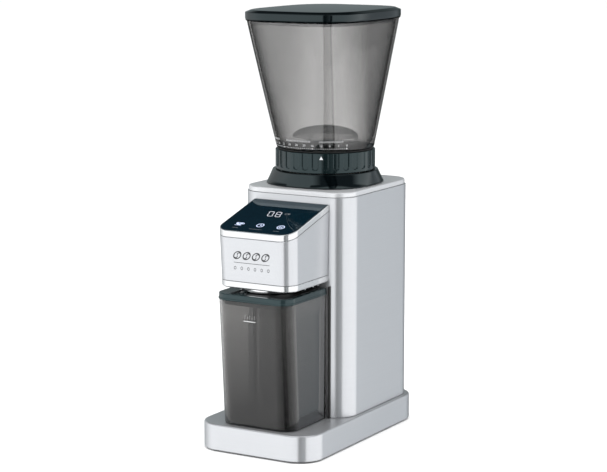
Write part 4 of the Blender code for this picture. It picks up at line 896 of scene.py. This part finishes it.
def make_emblem():
    """Plain coffee beans, a rule and six small rings, on the head's front."""
    bm = bmesh.new()
    foot, height, middle = 156.2 * mm, 39.2 * mm, -1 * mm
    lean = HEAD_FRONT_BOTTOM - HEAD_FRONT_TOP
    tilt = math.atan2(lean, 39 * mm)

    def front(x, z):
        y = HEAD_FRONT_BOTTOM - lean * (z - foot) / height - MARK_LIFT
        return Matrix.Translation((x, y, z)) @ Matrix.Rotation(math.pi / 2 + tilt, 4, "X")

    squash, narrow = Matrix.Diagonal((1.0, 0.68, 1.0, 1.0)), Matrix.Diagonal((0.75, 1, 1, 1))
    for i in range(4):
        place = (front((i - 1.5) * 9.6 * mm + middle, 180.1 * mm)
                 @ Matrix.Rotation(math.radians(35), 4, "Z"))
        arc_mark(bm, (0, 0), 4.1 * mm, 1.15 * mm, 0, 360, place @ squash, 32)
        arc_mark(bm, (-1.9 * mm, 0.6 * mm), 1.9 * mm, 0.75 * mm, 180, 150, place, 12)
        arc_mark(bm, (1.7 * mm, -0.9 * mm), 1.9 * mm, 0.75 * mm, 10, 140, place, 12)
    rule = front(middle, 173.5 * mm)
    bar(bm, (-18.3 * mm, 0), (18.3 * mm, 0), 0.4 * mm, rule)
    for i in range(6):
        place = rule @ Matrix.Translation(((i - 2.5) * 6.8 * mm, -4.9 * mm, 0))
        arc_mark(bm, (0, 0), 1.3 * mm, 0.45 * mm, 0, 360, place @ narrow, 16)
    finished("bean_emblem", bm, DARK_PRINT, "chassis")


# ------------------------------------------------------------------ grounds container
def container_at(share, inset=0.0):
    """The container's outline from its foot, share 0, to its mouth, share 1."""
    half = 37.6 * mm + 0.4 * mm * share
    front = -95.8 * mm - CONTAINER_SPLAY * share
    return rounded(half - inset, front + inset, CONTAINER_REAR - inset,
                   CONTAINER_CORNER - inset, CONTAINER_REAR_CORNER - min(inset, 2.5 * mm))


def make_container():
    low, top, wall, steps = BASE_TOP + SEAM, CONTAINER_TOP, CONTAINER_WALL, 8
    rows = [at(container_at(0, inset * mm), low + lift * mm)
            for inset, lift in ((2.2, 0), (1.1, 0), (0.35, 0.3), (0.05, 0.9))]
    rows += [at(container_at(i / steps), low + 1.6 * mm + (top - low - 2.2 * mm) * i / steps)
             for i in range(steps + 1)]
    rows += [at(container_at(1, 0.2 * mm), top - 0.1 * mm), at(container_at(1, 0.5 * mm), top),
             at(container_at(1, wall - 0.4 * mm), top), at(container_at(1, wall), top - 0.4 * mm)]
    rows += [at(container_at(i / steps, wall), low + wall + 2.2 * mm
                + (top - low - wall - 3.4 * mm) * i / steps) for i in reversed(range(steps + 1))]
    rows += [at(container_at(0, wall + inset * mm), low + wall + lift * mm)
             for inset, lift in ((0.5, 0.7), (1.8, 0), (3.0, 0))]
    lofted("container_shell", rows, SMOKE_DARK, "container", slot="smoke_plastic",
           replaces=["grounds_container"])


def make_fill_mark():
    """A rule with a short row of ticks over it, on the container's front."""
    bm = bmesh.new()
    lean = math.atan2(CONTAINER_SPLAY, 111 * mm)
    place = (Matrix.Translation((-1 * mm, -102.05 * mm, 122.6 * mm))
             @ Matrix.Rotation(math.pi / 2 - lean, 4, "X"))
    bar(bm, (-6.2 * mm, 0), (6.2 * mm, 0), 0.5 * mm, place)
    for i in range(5):
        x, height = (i - 2) * 2.4 * mm, (5.4 if i % 2 == 0 else 4.0) * mm
        bar(bm, (x, 1.9 * mm), (x, height), 0.35 * mm, place)
    finished("fill_mark", bm, GLOWING_PRINT, "container")


def make_outlet_rim():
    """The polished rim round the outlet, between the head and the container's lid."""
    turned("polished_outlet_rim", [
        (20.8 * mm, 146.7 * mm), (21.2 * mm, 146.4 * mm), (22.5 * mm, 146.4 * mm),
        (22.9 * mm, 146.6 * mm), (23.0 * mm, 147.1 * mm), (22.9 * mm, 149.0 * mm),
        (23.0 * mm, UNDERSIDE), (20.8 * mm, UNDERSIDE)], POLISHED, "chassis",
        centre=(0, -69.5 * mm, 0), slot="trim_steel", replaces=["outlet_rim"])


def make_underside_screws():
    bm = bmesh.new()
    for y in (-64 * mm, -50 * mm, -41 * mm):
        for x in (-32 * mm, 32 * mm):
            spun(bm, [(0, UNDERSIDE), (1.7 * mm, UNDERSIDE), (1.6 * mm, 147.8 * mm),
                      (1.0 * mm, 147.0 * mm), (0, 146.8 * mm)], (x, y, 0), sides=20,
                 closed=False)
    finished("underside_screws", bm, POLISHED, "chassis", slot="trim_steel")


def make_guide_rails():
    """Black strips on the tower, either side of the container: painted shade of the gap between
    the container and the tower.
    """
    bm = bmesh.new()
    for side in (-1, 1):
        low, high = sorted((side * 38.9 * mm, side * 40.3 * mm))
        box(bm, (low, -33.6 * mm, BASE_TOP + 0.2 * mm), (high, -30.9 * mm, 146.2 * mm), 0.3 * mm)
    finished("container_gap_painted_shade", bm, RUBBER, "chassis", slot="rubber")


def make_container_lid():
    top, low = CONTAINER_LID_TOP, CONTAINER_TOP + SEAM
    plate_low, skirt_low = top - 2 * mm, top - 9.9 * mm
    hole = rounded(16 * mm, -76 * mm, -50 * mm, 2 * mm)

    def section(inset, z):
        return at(rounded(CONTAINER_LID_HALF - inset, -DEPTH_HALF + inset,
                          CONTAINER_REAR - inset, CONTAINER_CORNER - inset,
                          CONTAINER_REAR_CORNER - min(inset, 2.8 * mm)), z)

    row = eased([(3.4 * mm, low, 0), (0, low, 0.2 * mm), (0, low + 1.3 * mm, 0.3 * mm),
                 (0.5 * mm, low + 1.7 * mm, 0.1 * mm), (0.5 * mm, top, 0.9 * mm),
                 (6.5 * mm, top, 0)], 4)
    rows = [at(hole, plate_low), section(5 * mm, plate_low), section(5 * mm, skirt_low),
            section(3.4 * mm, skirt_low)]
    rows += [section(a, z) for a, z in row] + [at(hole, top)]
    lofted("container_cover", rows, LID_BLACK, "container", joined=True,
           slot="black_plastic", replaces=["container_lid"])


def make_lid_inlays():
    """Flat black plates on the container's lid, left, front and right of its hole: painted shade
    of a slot and of the recess under the head.
    """
    bm = bmesh.new()
    for left, front, right, rear in ((-23, -99, -20, -38), (-8, -98.5, 34, -77),
                                     (17, -77, 34, -38)):
        box(bm, (left * mm, front * mm, CONTAINER_LID_TOP),
            (right * mm, rear * mm, CONTAINER_LID_TOP + 0.25 * mm), 0.08 * mm)
    finished("lid_painted_shade_plates", bm, BLACK, "container", slot="black_plastic")


# ------------------------------------------------------------------ feet and back
def make_feet():
    for side, x in (("left", -37.75 * mm), ("right", 37.75 * mm)):
        for end, y in (("front", -80.15 * mm), ("rear", 81.45 * mm)):
            turned(f"rubber_foot_{end}_{side}", [
                (0, 0), (6.6 * mm, 0), (7.5 * mm, 0.2 * mm), (7.9 * mm, 0.8 * mm),
                (8.0 * mm, 1.65 * mm), (2.5 * mm, 1.7 * mm), (2.5 * mm, 4.8 * mm),
                (3.5 * mm, 4.9 * mm), (2.5 * mm, 7.5 * mm), (0, 7.5 * mm)], RUBBER, "chassis",
                centre=(x, y, 0), closed=False, sides=40, slot="rubber",
                replaces=[f"foot_{end}_{side}"])


def make_gland():
    turned("gland_bush", [
        (3.8 * mm, -9 * mm), (6 * mm, -9 * mm), (6 * mm, 0.3 * mm), (7.8 * mm, 0.3 * mm),
        (8.0 * mm, 0.7 * mm), (7.6 * mm, 2.6 * mm), (7.0 * mm, 3.2 * mm), (4.4 * mm, 3.3 * mm),
        (3.8 * mm, 2.8 * mm)], BLACK, "chassis", centre=(0, TOWER_REAR, 46 * mm),
        axis=(0, 1, 0), sides=48, slot="black_plastic", replaces=["cable_gland"])


def make_back():
    """Cooling slots, drawn as flat black bars whose black is painted shade, and a blank rating
    plate on the tower's back.
    """
    sunk = TOWER_REAR - 0.2 * mm
    bm = bmesh.new()
    for row in range(9):
        height = (176 - 6.5 * row) * mm
        box(bm, (-24 * mm, sunk, height - 1.1 * mm),
            (24 * mm, TOWER_REAR + 0.2 * mm, height + 1.1 * mm), 0.15 * mm)
    finished("rear_vent_painted_shade", bm, BLACK, "chassis", slot="black_plastic")
    bm = bmesh.new()
    box(bm, (-22 * mm, sunk, 68 * mm), (22 * mm, TOWER_REAR + 0.25 * mm, 96 * mm), 0.12 * mm)
    finished("rating_plate", bm, ZINC, "chassis", slot="zinc_plate")


# ------------------------------------------------------------------ studio
# What shiny surfaces reflect, by the bearing in degrees: bands of bright and dark.
BRIGHT, SIDE = (1.6, 1.61, 1.62), (0.53, 0.58, 0.62)
DARK, DIM = (0.02, 0.025, 0.03), (0.10, 0.12, 0.125)
BANDS = ((-180, DIM), (-158, (0.15, 0.18, 0.185)), (-135, (0.28, 0.32, 0.33)),
         (-100, (0.75, 0.77, 0.78)), (-62, BRIGHT), (20, BRIGHT), (25, DARK),
         (35, (0.12, 0.135, 0.14)), (48, (0.5, 0.54, 0.56)), (49, DARK), (54, DARK),
         (58, BRIGHT), (140, BRIGHT), (151, SIDE), (166, SIDE), (180, DIM))
# The same by height, from straight down, 0, to straight up, 1. The two are multiplied.
BELOW, ABOVE, FULL = (0.04, 0.05, 0.05), (0.10, 0.11, 0.12), (1, 1, 1)
HEIGHTS = ((0.0, BELOW), (0.13, BELOW), (0.19, FULL), (0.67, FULL), (0.77, ABOVE),
           (0.88, ABOVE), (0.93, FULL))
FILL = (1.07, 1.07, 1.07)       # the even light that falls on everything
LIGHTS = (("top_light", (0.2, -0.3, 2.2), 1.8, 26), ("front_light", (-1.2, -1.8, 1.3), 1.4, 14))
AIM = Vector((0, 0, 0.15))


def make_world():
    world = bpy.data.worlds.new("studio")
    bpy.context.scene.world = world
    world.use_nodes = True
    world.node_tree.nodes.clear()
    w = Paint(world.node_tree)
    direction = w.node("ShaderNodeTexCoord", {}, output=0)
    x, y, z = (w.node("ShaderNodeSeparateXYZ", {}, direction, output=i) for i in range(3))
    around = x.maths("ARCTAN2", y * -1) / (2 * math.pi) + 0.5
    bands = w.ramp(around, [(bearing / 360 + 0.5, colour) for bearing, colour in BANDS])
    glossy = w.mix(1.0, bands, w.ramp(z * 0.5 + 0.5, HEIGHTS), "MULTIPLY")
    is_glossy = w.node("ShaderNodeLightPath", {}, output="Is Glossy Ray")
    light = w.node("ShaderNodeBackground", {}, w.mix(is_glossy, FILL, glossy), 1.0)
    w.node("ShaderNodeOutputWorld", {}, light)


def make_floor():
    bm = bmesh.new()
    bmesh.ops.create_grid(bm, x_segments=1, y_segments=1, size=60)
    mesh = bpy.data.meshes.new("floor")
    bm.to_mesh(mesh)
    bm.free()
    paper = Finish("floor_paper", Roughness=0.9, Specular_IOR_Level=0.1)
    paper.put(Base_Color=paper.mix(paper.noise((3, 3, 3), 2), (0.965, 0.965, 0.965),
                                   (0.975, 0.975, 0.975)))
    mesh.materials.append(paper.material)
    floor = bpy.data.objects.new("floor", mesh)
    bpy.context.scene.collection.objects.link(floor)
    floor.visible_glossy = False


def make_lights():
    for name, place, size, power in LIGHTS:
        lamp = bpy.data.lights.new(name, "AREA")
        lamp.shape, lamp.size, lamp.energy = "SQUARE", size, power
        thing = bpy.data.objects.new(name, lamp)
        thing.location = place
        thing.rotation_mode = "QUATERNION"
        thing.rotation_quaternion = (Vector(place) - AIM).to_track_quat("Z", "Y")
        thing.visible_glossy = False
        bpy.context.scene.collection.objects.link(thing)


def make_camera():
    camera = bpy.data.cameras.new("camera")
    camera.lens, camera.sensor_width = 119.4, 36.0
    view = bpy.data.objects.new("camera", camera)
    view.location = (0.9099, -1.5672, 0.4914)
    view.rotation_euler = (math.radians(90 - 9.63), 0, math.radians(30.3))
    bpy.context.scene.collection.objects.link(view)
    bpy.context.scene.camera = view


bpy.context.scene.view_settings.view_transform = "Standard"
make_world()
make_floor()
make_lights()
make_camera()
make_base()
make_tower()
make_collar()
make_grind_ring()
make_hopper()
make_guard()
make_hopper_lid()
make_scale()
make_head()
make_digits()
make_panel_print()
make_touch_icons()
make_emblem()
make_container()
make_fill_mark()
make_outlet_rim()
make_underside_screws()
make_guide_rails()
make_container_lid()
make_lid_inlays()
make_feet()
make_gland()
make_back()

bpy.context.view_layer.update()
